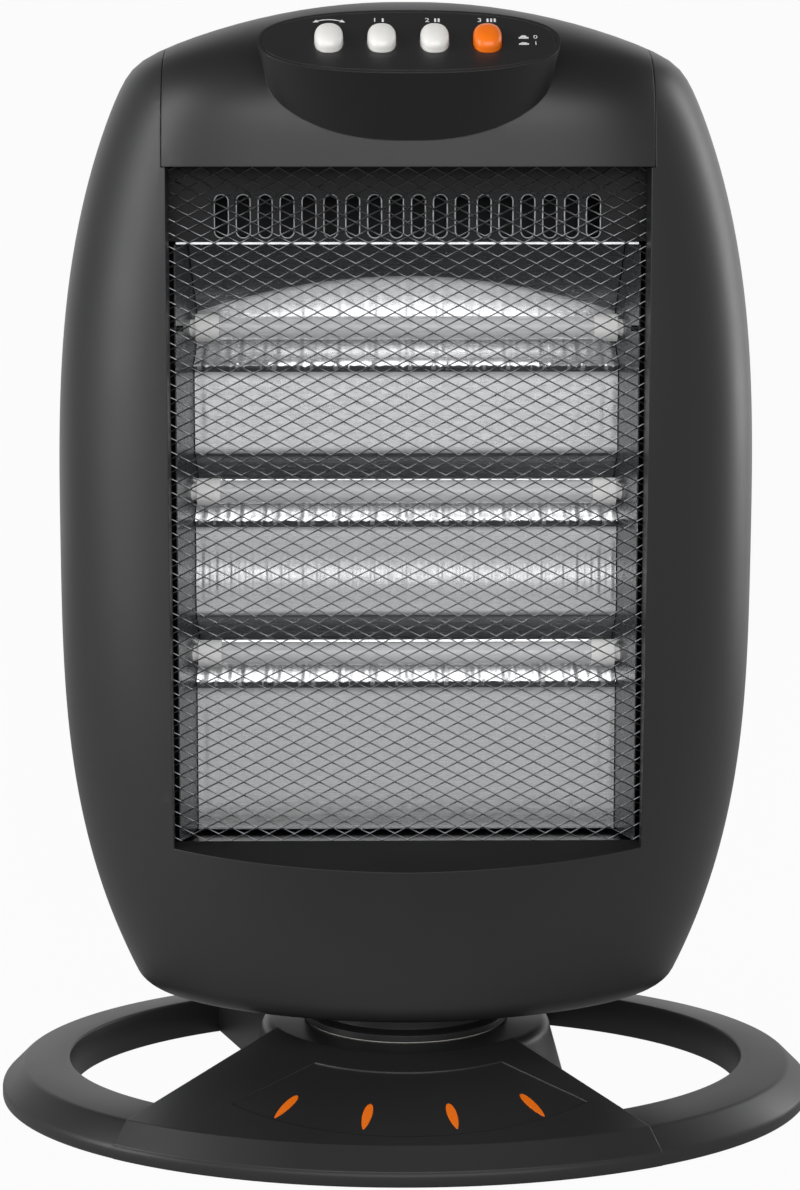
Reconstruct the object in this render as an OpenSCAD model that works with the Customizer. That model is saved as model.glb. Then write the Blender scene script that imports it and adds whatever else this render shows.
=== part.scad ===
// Oscillating halogen heater: three quartz lamps in a polished reflector, behind a
// steel guard, in a moulded head that swivels on a wide oval base.
// Origin on the floor under the swivel axis, +Z up, the guard faces -Y, +X is the
// viewer's right. Millimetres.

/* [Head shell] */
// Width of the head at its widest
head_w = 331.4; // [322:0.2:345]
// Height of the head's underside above the floor
head_bottom_z = 54; // [52:0.5:58]
// Height of the crown above the floor
head_top_z = 527.5; // [523:0.5:535]
// Height at which the head is widest
widest_z = 269; // [255:1:285]
// Height above the widest point at which the flanks would meet
upper_reach = 378; // [370:1:400]
// Depth below the widest point at which the flanks would meet
lower_reach = 350; // [340:1:375]
// Radius of the crown, seen from the front
crown_r = 300; // [285:1:330]
// Depth of the head in front of the swivel axis
front_depth = 90; // [88:0.5:96]
// Depth of the head behind the swivel axis
rear_depth = 58; // [50:0.5:70]
// Height over which the crown rolls back
crown_roll = 57.5; // [52:0.5:62]
// How far the chin draws in below the window
chin_tuck = 10; // [4:0.5:14]
// Radius round the head's lower rim
rim_r = 8; // [4:0.5:12]
// Wall of the plastic mouldings
wall = 2.6; // [2.2:0.1:3]

/* [Window and guard] */
// Margin of the window outside the reflector, at each side
window_margin = 8; // [5:0.5:9]
// Height of the window
window_h = 315; // [308:0.5:316]
// Height of the window's lower edge above the floor
window_z = 136; // [135:0.5:140]
// Distance from the swivel axis forward to the back of the window frame
frame_y = 50; // [48:0.5:53]
// Fall of the ledge below the guard, in degrees
ledge_fall = 9; // [4:0.5:14]
// Diamonds of the guard across the window
guard_columns = 7; // [5:1:7]
// Diamonds of the guard up the window
guard_rows = 19; // [14:1:20]
// Width of the guard's strands
strand_w = 2; // [1.4:0.1:2.6]
// Thickness of the guard
guard_t = 1; // [0.8:0.1:1.4]

/* [Reflector and lamps] */
// Clear way between a lamp's end and the reflector's end plate
lamp_room = 2.5; // [1.5:0.1:4]
// Depth of the reflector from its flange to its back
reflector_depth = 30; // [28:0.5:31]
// Radius of the half-round channel behind each lamp
channel_r = 17; // [15:0.5:18]
// Height of the lowest lamp above the floor
lamp_z = 221; // [216:1:226]
// Spacing of the lamps
lamp_pitch = 77.5; // [74:0.5:79]
// Length of a lamp over its ceramic ends
lamp_l = 198; // [194:0.5:199]
// Diameter of the quartz tube
tube_d = 11; // [10:0.5:12]
// Thickness of the reflector and heat shield sheet
sheet_t = 0.8; // [0.6:0.1:1]
// Height of the reflector's upper lip above the floor
reflector_top_z = 417; // [415:0.5:419]
// Number of slots in the vent plate
vent_slots = 18; // [12:1:19]
// Width of a vent slot
vent_slot_w = 6.4; // [4:0.2:7.6]
// Height of a vent slot
vent_slot_h = 19.8; // [14:0.2:22]

/* [Controls] */
// Width of the control pod
pod_w = 134; // [128:1:140]
// Length of the control pod's face, front to back
pod_l = 50; // [48:0.5:53]
// Lean of the control face towards the user, in degrees
pod_tilt = 35; // [32:0.5:38]
// Distance of the face's centre in front of the swivel axis
pod_y = 90; // [88:0.5:92]
// Height of the face's centre above the floor
pod_z = 506.5; // [504:0.5:509]
// Spacing of the push buttons
button_pitch = 23.4; // [21:0.2:25]
// Width of a push button
button_w = 12.8; // [11:0.2:14]
// Length of a push button
button_l = 18; // [16:0.2:20]
// How far a raised button stands out of the face
button_proud = 6; // [5:0.1:7]
// Travel of a push button
button_travel = 4; // [3:0.1:5]

/* [Base] */
// Width of the oval base
base_w = 396; // [380:1:410]
// Depth of the oval base
base_d = 306; // [298:1:316]
// Height of the ring at its inner edge
ring_h = 19.5; // [18:0.1:21]
// Width of the ring from its outer lip to its inner edge
ring_w = 33; // [31:0.5:35]
// Height of the vertical lip round the ring
lip_h = 7; // [5:0.5:8]
// Width and height of the slope above the lip
ring_slope = 10; // [8:0.2:10.4]
// Radius of the hub's flat top
hub_r = 66; // [62:0.5:68]
// Radius of the hub where it meets the floor
hub_foot_r = 79.5; // [77:0.5:84]
// Rounding of the hub's shoulder
hub_shoulder = 5; // [3:0.5:6]
// Turn of the ramps' middle towards the viewer's left at the ring, in degrees
ramp_turn = 4; // [0:0.5:6]
// Radius of the neck's collar
collar_r = 50; // [48:0.5:52]
// Height of the hub's top above the floor
hub_z = 37; // [36.5:0.1:38.5]
// Thickness of the rubber feet
foot_h = 3; // [2.5:0.1:3.5]
// Diameter of the rubber feet
foot_d = 12; // [10:0.5:14]
// Number of orange inlays on the front of the base
inlays = 4; // [2:1:4]

/* [Swing drive] */
// Module of the gear teeth
gear_module = 1.5; // [1.4:0.05:1.6]
// Teeth the toothed sector would have as a full wheel
sector_teeth = 44; // [42:2:46]
// Teeth of the motor pinion
pinion_teeth = 14; // [13:1:15]
// Half of the head's swing, in degrees
swing = 35; // [25:1:38]
// Outer radius of the swivel spigot
spigot_r = 19; // [18:0.1:19.4]
// Inner radius of the swivel spigot, where the wires pass
spigot_bore_r = 14; // [12:0.5:15]
// Width of the gears
gear_w = 7; // [5:0.1:7.2]
// Diameter of the motor can
motor_d = 50; // [46:1:52]
// Travel of the tip-over plunger
tip_travel = 3.6; // [2:0.1:3.8]

/* [Fits] */
// Gap between mouldings that meet at a seam
seam = 0.3; // [0.2:0.05:0.5]
// Gap between pieces that are clamped or seated
seat = 0.2; // [0.1:0.05:0.3]
// Radial clearance of a running fit
run = 0.06; // [0.03:0.01:0.1]

/* [Hidden] */

charcoal = "#38383a";
soot = "#1b1b1c";
steel = "#b9bcc0";
bright = "#d9dcdf";
orange = "#ff7a14";
ivory = "#efeeea";

// The reflector is as wide as its lamps need, and the window follows the reflector
reflector_w = lamp_l + 2 * lamp_room;
window_w = reflector_w + 2 * window_margin;

head_levels = 24;
head_steps = 16;
ring_steps = 72;
eps = 0.05;

// Stack of sheet parts behind the window frame, each given by its front face
guard_front = -frame_y + seam;
flange_front = guard_front + guard_t + seat;
shield_front = flange_front + sheet_t + seat;
reflector_back = flange_front + reflector_depth;
shield_back = reflector_back + channel_r + sheet_t + seat;
lamp_y = reflector_back - 3;
lamp_rows = [lamp_z + 2 * lamp_pitch, lamp_z + lamp_pitch, lamp_z];
frame_lap = 3;
guard_w = window_w + 2 * frame_lap;
guard_z0 = window_z - frame_lap;
guard_z1 = window_z + window_h + frame_lap;

// Places of the four screws that clamp the front housing, heat shield and rear cover
clamp_x = 136;
clamp_z = [165, 405];
clamp_screw_r = 1.9;
boss_r = 5;

// Heights inside the base
base_lift = 0.8;
cover_z = 1.8;
cover_t = 2;
hub_t = 3;
slip_t = 0.6;
neck_z = hub_z + slip_t + seat / 2;
gear_z = hub_z - hub_t - 2 - gear_w;
nut_h = 5;
nut_z = gear_z - seat - nut_h;
nut_r = spigot_r + 6;

// Gear geometry
sector_r = gear_module * sector_teeth / 2;
pinion_r = gear_module * pinion_teeth / 2;
gear_centres = sector_r + pinion_r;
stub = 0.8;
sector_count = ceil((swing + 4) / (360 / sector_teeth));
sector_edge = (sector_count + 0.5) * 360 / sector_teeth;
shaft_r = 3;
motor_y = gear_centres + 9;
motor_top = gear_z - 3.4;
motor_bottom = 5.2;
ear_x = motor_d / 2 + 6;
peg_r = 2;
peg_orbit = sector_r - 4;
peg_angle = sector_edge + swing + asin(peg_r / peg_orbit) + 1;

// Head form. The flanks follow a cubic, the crown an arc, and a power mean blends them
function flank(z) =
  head_w / 2 * (1 - pow(abs(z - widest_z) / (z > widest_z ? upper_reach : lower_reach), 3));
function crown(z) =
  let (h = z - head_top_z + crown_r) h <= 0 ? crown_r : sqrt(max(pow(crown_r, 2) - h * h, 1));
function rim_inset(z) =
  let (h = max(0, rim_r - (z - head_bottom_z))) rim_r - sqrt(max(0, rim_r * rim_r - h * h));
function half_width(z) = pow(pow(flank(z), -24) + pow(crown(z), -24), -1 / 24) - rim_inset(z);
function roll(z) =
  let (h = max(0, z - head_top_z + crown_roll)) sqrt(max(0.01, 1 - pow(h / crown_roll, 2)));
function chin(z) = chin_tuck * max(0, (window_z - z) / (window_z - head_bottom_z));
function depth(z, side) =
  side < 0 ? front_depth * roll(z) - chin(z) - rim_inset(z) : rear_depth * roll(z) - rim_inset(z);
// How square the plan section is: a soft bow over the chin, flatter up to the crown
function squareness(z, side) =
  side > 0 ? 2.6 : 1.8 + 1.2 * min(1, max(0, (z - window_z) / (pod_z - 46 - window_z)));
function spow(v, e) = sign(v) * pow(abs(v), e);
function surface_y(x, z, side) =
  let (p = squareness(z, side))
  side * depth(z, side) * pow(max(0, 1 - pow(abs(x) / half_width(z), p)), 1 / p);

// Levels lie closer together towards the rim and the crown
function level(k) =
  head_bottom_z + (head_top_z - 0.4 - head_bottom_z) * (1 - cos(180 * k / head_levels)) / 2;
function inner_z(z) =
  z > widest_z ? widest_z + (z - widest_z) * (1 - wall / (head_top_z - widest_z))
               : widest_z + (z - widest_z) * (1 - wall / (widest_z - head_bottom_z));
function half_ring(z, inset, side) =
  let (p = squareness(z, side), w = half_width(z) - inset, d = depth(z, side) - inset)
  [for (i = [0:head_steps]) let (t = 180 * i / head_steps)
    [w * spow(cos(t), 2 / p), side * d * pow(abs(sin(t)), 2 / p),
     inset > 0 ? inner_z(z) : z]];

function quad(a, b, c, d, flip) = flip ? [[a, b, c], [a, c, d]] : [[c, b, a], [d, c, a]];
function grid_faces(start, rows, columns, flip) =
  [for (k = [0:rows - 1], i = [0:columns - 1])
    let (a = start + k * (columns + 1) + i, b = a + columns + 1)
    each quad(a, a + 1, b + 1, b, flip)];
function span(a, b) = a <= b ? [for (i = [a:b]) i] : [for (i = [a:-1:b]) i];

// Closed half of the head, cut at the parting plane through the swivel axis
module half_solid(side) {
  n = head_levels;
  m = head_steps;
  last = n * (m + 1);
  flip = side > 0;
  points = [for (k = [0:n]) each half_ring(level(k), 0, side)];
  seam_faces = [for (k = [0:n - 1]) let (a = k * (m + 1), b = a + m + 1)
    each quad(a + m, a, b, b + m, flip)];
  caps = [flip ? span(0, m) : span(m, 0), flip ? span(last + m, last) : span(last, last + m)];
  polyhedron(points, concat(grid_faces(0, n, m, flip), seam_faces, caps));
}

// The same half as a moulding with an even wall, open at the parting plane
module half_shell(side) {
  n = head_levels;
  m = head_steps;
  count = (n + 1) * (m + 1);
  last = n * (m + 1);
  flip = side > 0;
  points = concat([for (k = [0:n]) each half_ring(level(k), 0, side)],
                  [for (k = [0:n]) each half_ring(level(k), wall, side)]);
  edges = [for (k = [0:n - 1]) let (a = k * (m + 1), b = a + m + 1)
    each concat(quad(count + a, a, b, count + b, flip),
                quad(a + m, count + a + m, count + b + m, b + m, flip))];
  caps = [flip ? span(0, m) : span(m, 0),
          flip ? span(last + m, last) : span(last, last + m),
          flip ? span(count + m, count) : span(count, count + m),
          flip ? span(count + last, count + last + m) : span(count + last + m, count + last)];
  ends = concat(quad(0, count, count + m, m, flip),
                quad(last + m, count + last + m, count + last, last, flip));
  polyhedron(points, concat(grid_faces(0, n, m, flip), grid_faces(count, n, m, !flip),
                            edges, caps, ends));
}

// Superellipse outline
function oval(a, b, p, count) =
  [for (i = [0:count - 1]) let (t = 360 * i / count)
    [a * spow(cos(t), 2 / p), b * spow(sin(t), 2 / p)]];

// Places children in the plane of the control face, +Z out of the face
module on_control_face() {
  translate([0, -pod_y, pod_z]) rotate([pod_tilt, 0, 0]) children();
}

module screw(head_r, head_h, shank_r, length) {
  cylinder(r = head_r, h = head_h, $fn = 32);
  translate([0, 0, head_h - eps]) cylinder(r = shank_r, h = length + eps, $fn = 32);
}

// Base form. Rulings run from the hub's circle down to the break line of the ring
function ring_point(inset, angle) =
  [(base_w / 2 - inset) * sin(angle), (base_d / 2 - inset) * cos(angle)];
function break_z() = lip_h + ring_slope;
fan_in = [60.5, 70];
fan_out = [39.5, 29.5];
hub_turn = ramp_turn * 2.6;
function fan_point(side, s, u, lift, out) =
  let (k = side < 0 ? 0 : 1,
       near = fan_in[k] * s - hub_turn,
       a = [hub_r * sin(near), hub_r * cos(near)],
       b = ring_point(ring_slope - out, fan_out[k] * s - ramp_turn),
       p = a + (b - a) * u)
  [p[0], side * p[1], hub_z + (break_z() - hub_z) * u + lift];

// Slab that follows the ruled surface between two fractions of the way out
module fan_slab(side, u0, u1, s_max, low, high, columns = 14) {
  count = columns + 1;
  rows = [for (u = [u0, u1], lift = [low, high])
    [for (i = [0:columns]) fan_point(side, s_max * (2 * i / columns - 1), u, lift, 0)]];
  points = concat(rows[0], rows[1], rows[2], rows[3]);
  flip = side > 0;
  strip = function (a, b) [for (i = [0:columns - 1]) each quad(a + i, a + i + 1, b + i + 1, b + i, flip)];
  polyhedron(points, concat(strip(0, 2 * count), strip(2 * count, 3 * count),
    strip(3 * count, count), strip(count, 0),
    quad(0, 2 * count, 3 * count, count, flip),
    quad(columns, count + columns, 3 * count + columns, 2 * count + columns, flip)));
}

// Solid under the ruled surface, with its own slope down to the lip
module fan_solid(side, inset, top, floor_z, columns = 14) {
  count = columns + 1;
  k = side < 0 ? 0 : 1;
  trim = 1 - inset / 70;
  spread = function (i) trim * (2 * i / columns - 1);
  crest = [for (i = [0:columns]) fan_point(side, spread(i), 0, top, 0)];
  rim = [for (i = [0:columns]) fan_point(side, spread(i), 1, top, 0.8 - inset)];
  lip = [for (i = [0:columns]) let (q = ring_point(inset + 0.4, fan_out[k] * spread(i) - ramp_turn))
    [q[0], side * q[1], lip_h + 0.4 + top]];
  toe = [for (p = lip) [p[0], p[1], floor_z]];
  heel = [for (p = crest) [p[0], p[1], floor_z]];
  flip = side > 0;
  strip = function (a, b) [for (i = [0:columns - 1]) each quad(a + i, a + i + 1, b + i + 1, b + i, flip)];
  side_face = function (i, turned) let (p = [for (k = [4, 0, 1, 2, 3]) k * count + i])
    [for (t = [[0, 1, 2], [0, 2, 3], [0, 3, 4]]) [for (j = turned ? [t[2], t[1], t[0]] : t) p[j]]];
  polyhedron(concat(crest, rim, lip, toe, heel), concat(
    strip(count, 0), strip(2 * count, count), strip(3 * count, 2 * count),
    strip(4 * count, 3 * count), strip(0, 4 * count),
    side_face(0, flip), side_face(columns, !flip)));
}

// Closed sweep of a profile round the oval; each profile point is [inset, height]
module ring_sweep(profile) {
  n = ring_steps;
  m = len(profile);
  points = [for (k = [0:n - 1], q = profile)
    let (p = ring_point(q[0], 360 * k / n)) [p[0], p[1], q[1]]];
  faces = [for (k = [0:n - 1], i = [0:m - 1])
    let (a = k * m + i, b = k * m + (i + 1) % m, c = ((k + 1) % n) * m + (i + 1) % m,
         d = ((k + 1) % n) * m + i)
    each quad(a, b, c, d, false)];
  polyhedron(points, faces);
}

// Flank of the hub: a rounded shoulder, then a cone down to the floor
function bell(r0, z0, r1, z1) =
  concat([for (a = [0:15:90]) [r0 + hub_shoulder * sin(a), z0 - hub_shoulder * (1 - cos(a))]], [[r1, z1]]);

// Pieces under the ramps are placed on their rulings: [side, share across, share out]
function on_ramp(at) = let (p = fan_point(at[0], at[1], at[2], 0, 0)) [p[0], p[1]];
function ramp_z(at) = hub_z + (break_z() - hub_z) * at[2];
screw_rulings = [[-1, -0.45, 0.28], [-1, 0.8, 0.28], [1, -0.32, 0.3], [1, 0.55, 0.3]];
cover_screws = [for (at = screw_rulings) on_ramp(at)];
foot_angles = [0:60:300];
tip_ruling = [-1, -0.5, 0.08];
tip_at = on_ramp(tip_ruling);
terminal_at = [52, 4];

module base_form(inset, floor_z) {
  w = inset;
  ring_sweep([[w, floor_z], [w, lip_h - w * 0.4], [ring_slope + w * 0.4, break_z() - w],
              [ring_w - w, ring_h - w], [ring_w + 1.5 - w, floor_z]]);
  rotate_extrude($fn = 96)
    polygon(concat([[0, floor_z], [0, hub_z - (w > 0 ? hub_t : 0)]],
                   bell(hub_r - w, hub_z - (w > 0 ? hub_t : 0), hub_foot_r - w, floor_z)));
  fan_solid(-1, w, w > 0 ? -w : 0.6, floor_z);
  fan_solid(1, w, w > 0 ? -w : 0.6, floor_z);
}

panel_rim = 16.5;
panel_outer_r = 110;
panel_gap = 17.5;
panel_inner_r = 74;
module fan_panel_plan() {
  intersection() {
    difference() {
      translate([0, panel_rim - base_d / 2 + panel_outer_r]) circle(r = panel_outer_r, $fn = 96);
      translate([0, panel_inner_r - hub_r - panel_gap]) circle(r = panel_inner_r, $fn = 96);
    }
    polygon([[0, -34.3], [-100, -113.2], [-100, -base_d], [100, -base_d], [100, -113.2]]);
  }
}

inlay_orbit = base_d / 2 - 32.5;
inlay_pitch = 18.7;
inlay_l = 22;
inlay_w = 5.2;
function petal(l, w) =
  let (side = [for (i = [0:12]) let (s = i / 12) [w * 1.02 * pow(s, 0.5) * pow(1 - s, 0.75), l * (0.5 - s)]])
  concat(side, [for (i = [11:-1:1]) [-side[i][0], side[i][1]]]);
module inlay_places() {
  for (i = [0:inlays - 1])
    rotate([0, 0, (i - (inlays - 1) / 2) * inlay_pitch])
      translate([0, -inlay_orbit]) children();
}

module base_shell() {
  color(charcoal) difference() {
    union() {
      difference() {
        base_form(0, base_lift);
        base_form(wall, -1);
        intersection() {
          fan_slab(-1, 0.1, 1.1, 1, -0.3, 6);
          translate([0, 0, 10]) linear_extrude(40) fan_panel_plan();
        }
      }
      for (at = screw_rulings)
        translate([on_ramp(at)[0], on_ramp(at)[1], cover_z + cover_t])
          cylinder(r = boss_r, h = ramp_z(at) - cover_z - cover_t - 1.4, $fn = 32);
      for (a = foot_angles) {
        p = ring_point((ring_slope + ring_w) / 2, a + 90);
        translate([p[0], p[1], foot_h]) cylinder(r = foot_d / 2 + 1.4, h = break_z() - foot_h - 1, $fn = 32);
      }
      for (s = [-1, 1]) {
        translate([s * ear_x, motor_y, motor_top + seat])
          cylinder(r = 4, h = hub_z - motor_top - seat - 1, $fn = 32);
        rotate([0, 0, s * peg_angle]) translate([0, peg_orbit, gear_z + 1])
          cylinder(r = peg_r, h = hub_z - hub_t - gear_z, $fn = 24);
      }
      translate([tip_at[0], tip_at[1], tip_box_z + tip_box_h + seat])
        cylinder(r = 4, h = ramp_z(tip_ruling) - tip_box_z - tip_box_h - seat - 1.3, $fn = 32);
      translate([-12, base_d / 2 - 12, base_lift]) cube([24, 10, 15 - base_lift]);
    }
    translate([0, 0, hub_z - hub_t - 1]) cylinder(r = spigot_r + run, h = hub_t + 2, $fn = 96);
    for (p = cover_screws)
      translate([p[0], p[1], 0]) cylinder(r = clamp_screw_r + run, h = 16, $fn = 32);
    for (s = [-1, 1])
      translate([s * ear_x, motor_y, motor_top]) cylinder(r = 1.5 + run, h = 8, $fn = 32);
    translate([0, base_d / 2 - 14, gland_z]) rotate([-90, 0, 0]) {
      cylinder(r = gland_r + run, h = 20, $fn = 32);
      translate([0, 0, 12 - seat]) cylinder(r = gland_r + 1.4 + seat, h = 20, $fn = 32);
    }
    translate([0, 0, 10]) intersection() {
      translate([0, 0, -10]) fan_slab(-1, 0.2, 1, 1, -2.4, 4);
      linear_extrude(30) inlay_places() polygon(petal(inlay_l + 2 * run, inlay_w + 2 * run));
    }
  }
}

module orange_inlays() {
  color(orange) intersection() {
    fan_slab(-1, 0.2, 1, 1, -2.2, 0.3);
    translate([0, 0, 5]) linear_extrude(40) inlay_places() polygon(petal(inlay_l, inlay_w));
  }
}

module base_cover() {
  color(soot) difference() {
    translate([0, 0, cover_z]) linear_extrude(cover_t) difference() {
      union() {
        circle(r = hub_foot_r - wall - 2.5, $fn = 96);
        for (side = [-1, 1])
          polygon([for (s = [-0.86, 0.86], u = s < 0 ? [0, 0.8] : [0.8, 0])
            let (p = fan_point(side, s, u, 0, 0)) [p[0], p[1]]]);
      }
      translate(tip_at) circle(r = 3 + run, $fn = 48);
      for (p = cover_screws) translate(p) circle(r = clamp_screw_r + 0.3, $fn = 32);
    }
  }
  color(soot) translate([tip_at[0], tip_at[1], cover_z + cover_t]) difference() {
    cylinder(r = 5, h = 0.4, $fn = 48);
    translate([0, 0, -1]) cylinder(r = 3 + run, h = 3, $fn = 48);
  }
}

module base_cover_screws() {
  color(steel) for (p = cover_screws)
    translate([p[0], p[1], cover_z - 1.2]) screw(3.6, 1.1, clamp_screw_r, 12);
}

module rubber_feet() {
  color(soot) for (a = foot_angles) {
    p = ring_point((ring_slope + ring_w) / 2, a + 90);
    translate([p[0], p[1], 0]) cylinder(r = foot_d / 2, h = foot_h, $fn = 32);
  }
}

gland_z = 8.4;
gland_r = 4.6;
cord_r = 3.4;
module cord_gland() {
  color(soot) translate([0, base_d / 2 - 14, gland_z]) rotate([-90, 0, 0]) difference() {
    union() {
      cylinder(r = gland_r, h = 12, $fn = 32);
      translate([0, 0, 12]) cylinder(r = gland_r + 1.4, h = 1.8, $fn = 32);
    }
    translate([0, 0, -1]) cylinder(r = cord_r, h = 16, $fn = 32);
  }
}

module terminal_block() {
  color(ivory) translate([terminal_at[0] - 8, terminal_at[1] - 15, cover_z + cover_t]) difference() {
    cube([16, 30, 12]);
    for (i = [0:2]) translate([8, 5 + i * 10, 6]) cylinder(r = 2.4, h = 7, $fn = 24);
  }
}

// Round lead along a polyline, one closed polyhedron
module lead(route, r) {
  n = len(route);
  m = 8;
  tangent = function (i) let (v = route[min(n - 1, i + 1)] - route[max(0, i - 1)]) v / norm(v);
  points = [for (i = [0:n - 1])
    let (t = tangent(i), a = cross(t, [1, 0.2, 0]), u = a / norm(a), v = cross(t, u))
    each [for (j = [0:m - 1]) route[i] + r * (cos(360 * j / m) * u + sin(360 * j / m) * v)]];
  faces = [for (i = [0:n - 2], j = [0:m - 1])
    let (a = i * m + j, b = i * m + (j + 1) % m) each quad(a, b, b + m, a + m, true)];
  polyhedron(points, concat(faces, [span(m - 1, 0)], [span((n - 1) * m, n * m - 1)]));
}

module base_wiring() {
  block_z = cover_z + cover_t + 6;
  rim = base_d / 2;
  block = terminal_at;
  color(soot) lead([[0, rim - 14.2, gland_z], [0, rim - 23, gland_z], [12, rim - 37, gland_z],
                    [block[0] - 8, rim - 43, gland_z], [block[0] + 2, rim - 61, gland_z],
                    [block[0] - 2, block[1] + 56, gland_z + 1], [block[0], block[1] + 30, block_z],
                    [block[0], block[1] + 15.2, block_z]], 3);
  color(soot) lead([[block[0] - 8.2, block[1], block_z], [block[0] - 16, block[1], block_z],
                    [18, 2, block_z - 1], [7, 0, block_z], [2, 0, block_z + 5],
                    [0, 0, block_z + 12], [0, 0, hub_z + 8]], 3);
}

module swing_motor() {
  color(steel) difference() {
    union() {
      translate([0, motor_y, motor_bottom])
        cylinder(d = motor_d, h = motor_top - motor_bottom, $fn = 64);
      translate([-ear_x - 5, motor_y - 6, motor_top - 1.5]) cube([2 * ear_x + 10, 12, 1.5]);
      translate([0, gear_centres, motor_top - 1]) cylinder(r = 6, h = 2, $fn = 32);
    }
    translate([0, gear_centres, motor_bottom + 5]) cylinder(r = shaft_r + run, h = 30, $fn = 32);
    for (s = [-1, 1])
      translate([s * ear_x, motor_y, motor_top - 5]) cylinder(r = 1.8, h = 8, $fn = 32);
  }
}

module motor_screws() {
  color(steel) for (s = [-1, 1])
    translate([s * ear_x, motor_y, motor_top - 3.6]) screw(3, 2, 1.5, 8);
}

// Involute flank of a gear, points from the root to the tip
function involute(base, r) = r <= base ? 0 : tan(acos(base / r)) * 180 / PI - acos(base / r);
function tooth(teeth, thin) =
  let (pitch = gear_module * teeth / 2, base = pitch * cos(20),
       root = pitch - gear_module, tip = pitch + stub * gear_module,
       half = 90 / teeth - thin / pitch * 90 / PI + involute(base, pitch),
       radii = [for (i = [0:5]) max(root, base) + (tip - max(root, base)) * i / 5],
       flank_side = [for (r = radii) [r, half - involute(base, r)]])
  concat([[root, half]], flank_side,
         [for (i = [5:-1:0]) [flank_side[i][0], -flank_side[i][1]]], [[root, -half]]);
function gear_outline(teeth, thin, first, last) =
  [for (i = [first:last]) each [for (p = tooth(teeth, thin))
    let (a = i * 360 / teeth - p[1]) [p[0] * sin(a), p[0] * cos(a)]]];
backlash = 0.16;

// Toothed sector on the swivel spigot, meshing with the motor pinion behind it
module toothed_sector() {
  color(ivory) translate([0, 0, gear_z]) difference() {
    union() {
      cylinder(r = nut_r, h = gear_w, $fn = 96);
      linear_extrude(gear_w)
        polygon(concat(gear_outline(sector_teeth, backlash, -sector_count, sector_count),
                       [for (i = [8:-1:-8]) let (a = i * sector_edge / 8) (nut_r - 2) * [sin(a), cos(a)]]));
    }
    translate([0, 0, -1]) cylinder(r = spigot_r + run, h = gear_w + 2, $fn = 96);
    translate([-2 - run, -spigot_r - 2 - run, -1]) cube([4 + 2 * run, 6, gear_w + 2]);
  }
}

module motor_pinion() {
  turn = 180 / pinion_teeth + (pinion_teeth % 2 == 0 ? 0 : 180 / pinion_teeth);
  color(steel) translate([0, gear_centres, 0]) {
    translate([0, 0, gear_z - 0.5]) rotate([0, 0, turn]) linear_extrude(gear_w + 1)
      polygon(gear_outline(pinion_teeth, backlash, 0, pinion_teeth - 1));
    translate([0, 0, motor_bottom + 5.2]) cylinder(r = shaft_r, h = gear_z - motor_bottom - 5, $fn = 32);
  }
}

module neck_collar() {
  flare = 4;
  color(charcoal) difference() {
    union() {
      rotate_extrude($fn = 96)
        polygon([[0, nut_z], [spigot_r, nut_z], [spigot_r, neck_z], [collar_r, neck_z],
                 [collar_r, neck_z + 3], [collar_r - flare, neck_z + 5],
                 [collar_r - flare, head_bottom_z], [0, head_bottom_z]]);
      translate([-2, -spigot_r - 2, gear_z]) cube([4, 4, gear_w]);
    }
    translate([0, 0, nut_z - 1]) cylinder(r = spigot_bore_r, h = head_bottom_z, $fn = 64);
    for (p = neck_screw_at) translate([p[0], p[1], neck_z - 1]) {
      cylinder(r = 2 + run, h = 30, $fn = 32);
      cylinder(r = 4, h = 4.4, $fn = 32);
    }
  }
}

neck_screw_at = [for (x = [-27, 27], y = [-25, 25]) [x, y]];
module neck_screws() {
  color(steel) for (p = neck_screw_at) translate([p[0], p[1], neck_z + 0.8])
    screw(3.6, 2.4, 2, head_bottom_z - neck_z + 4);
}

module slip_washer() {
  color(ivory) translate([0, 0, hub_z]) difference() {
    cylinder(r = collar_r - 1, h = slip_t, $fn = 96);
    translate([0, 0, -1]) cylinder(r = spigot_r + run, h = 3, $fn = 96);
  }
}

module retaining_nut() {
  color(steel) translate([0, 0, nut_z]) difference() {
    cylinder(r = nut_r, h = nut_h, $fn = 6);
    translate([0, 0, -1]) cylinder(r = spigot_r + run, h = nut_h + 2, $fn = 96);
  }
}

tip_box_z = 17.3;
tip_box_h = 10;
tip_flange_z = cover_z + cover_t + 0.4 + tip_travel + 0.2;
module tip_switch() {
  color(soot) translate([tip_at[0], tip_at[1], tip_box_z]) difference() {
    translate([-12, -7, 0]) cube([24, 14, tip_box_h]);
    translate([0, 0, -1]) cylinder(r = 3 + run, h = 7, $fn = 32);
  }
}
module tip_plunger() {
  color(ivory) translate([tip_at[0], tip_at[1], 0]) {
    cylinder(r = 3, h = tip_box_z + 5, $fn = 48);
    translate([0, 0, tip_flange_z]) cylinder(r = 5.4, h = 1.2, $fn = 48);
  }
}
// Coil spring between the flange of the plunger and the switch
module tip_spring() {
  turns = 5;
  n = turns * 8;
  m = 6;
  wire_r = 0.35;
  low = tip_flange_z + 1.2 + 0.1 + wire_r;
  high = tip_box_z - 0.1 - wire_r;
  points = [for (i = [0:n]) let (a = 360 * i / 8, z = low + (high - low) * i / n)
    each [for (j = [0:m - 1]) let (b = 360 * j / m, q = 4.2 + wire_r * cos(b))
      [tip_at[0] + q * cos(a), tip_at[1] + q * sin(a), z + wire_r * sin(b)]]];
  faces = [for (i = [0:n - 1], j = [0:m - 1])
    let (a = i * m + j, b = i * m + (j + 1) % m) each quad(a, b, b + m, a + m, true)];
  color(steel) polyhedron(points, concat(faces, [span(m - 1, 0)], [span(n * m, n * m + m - 1)]));
}

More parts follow.
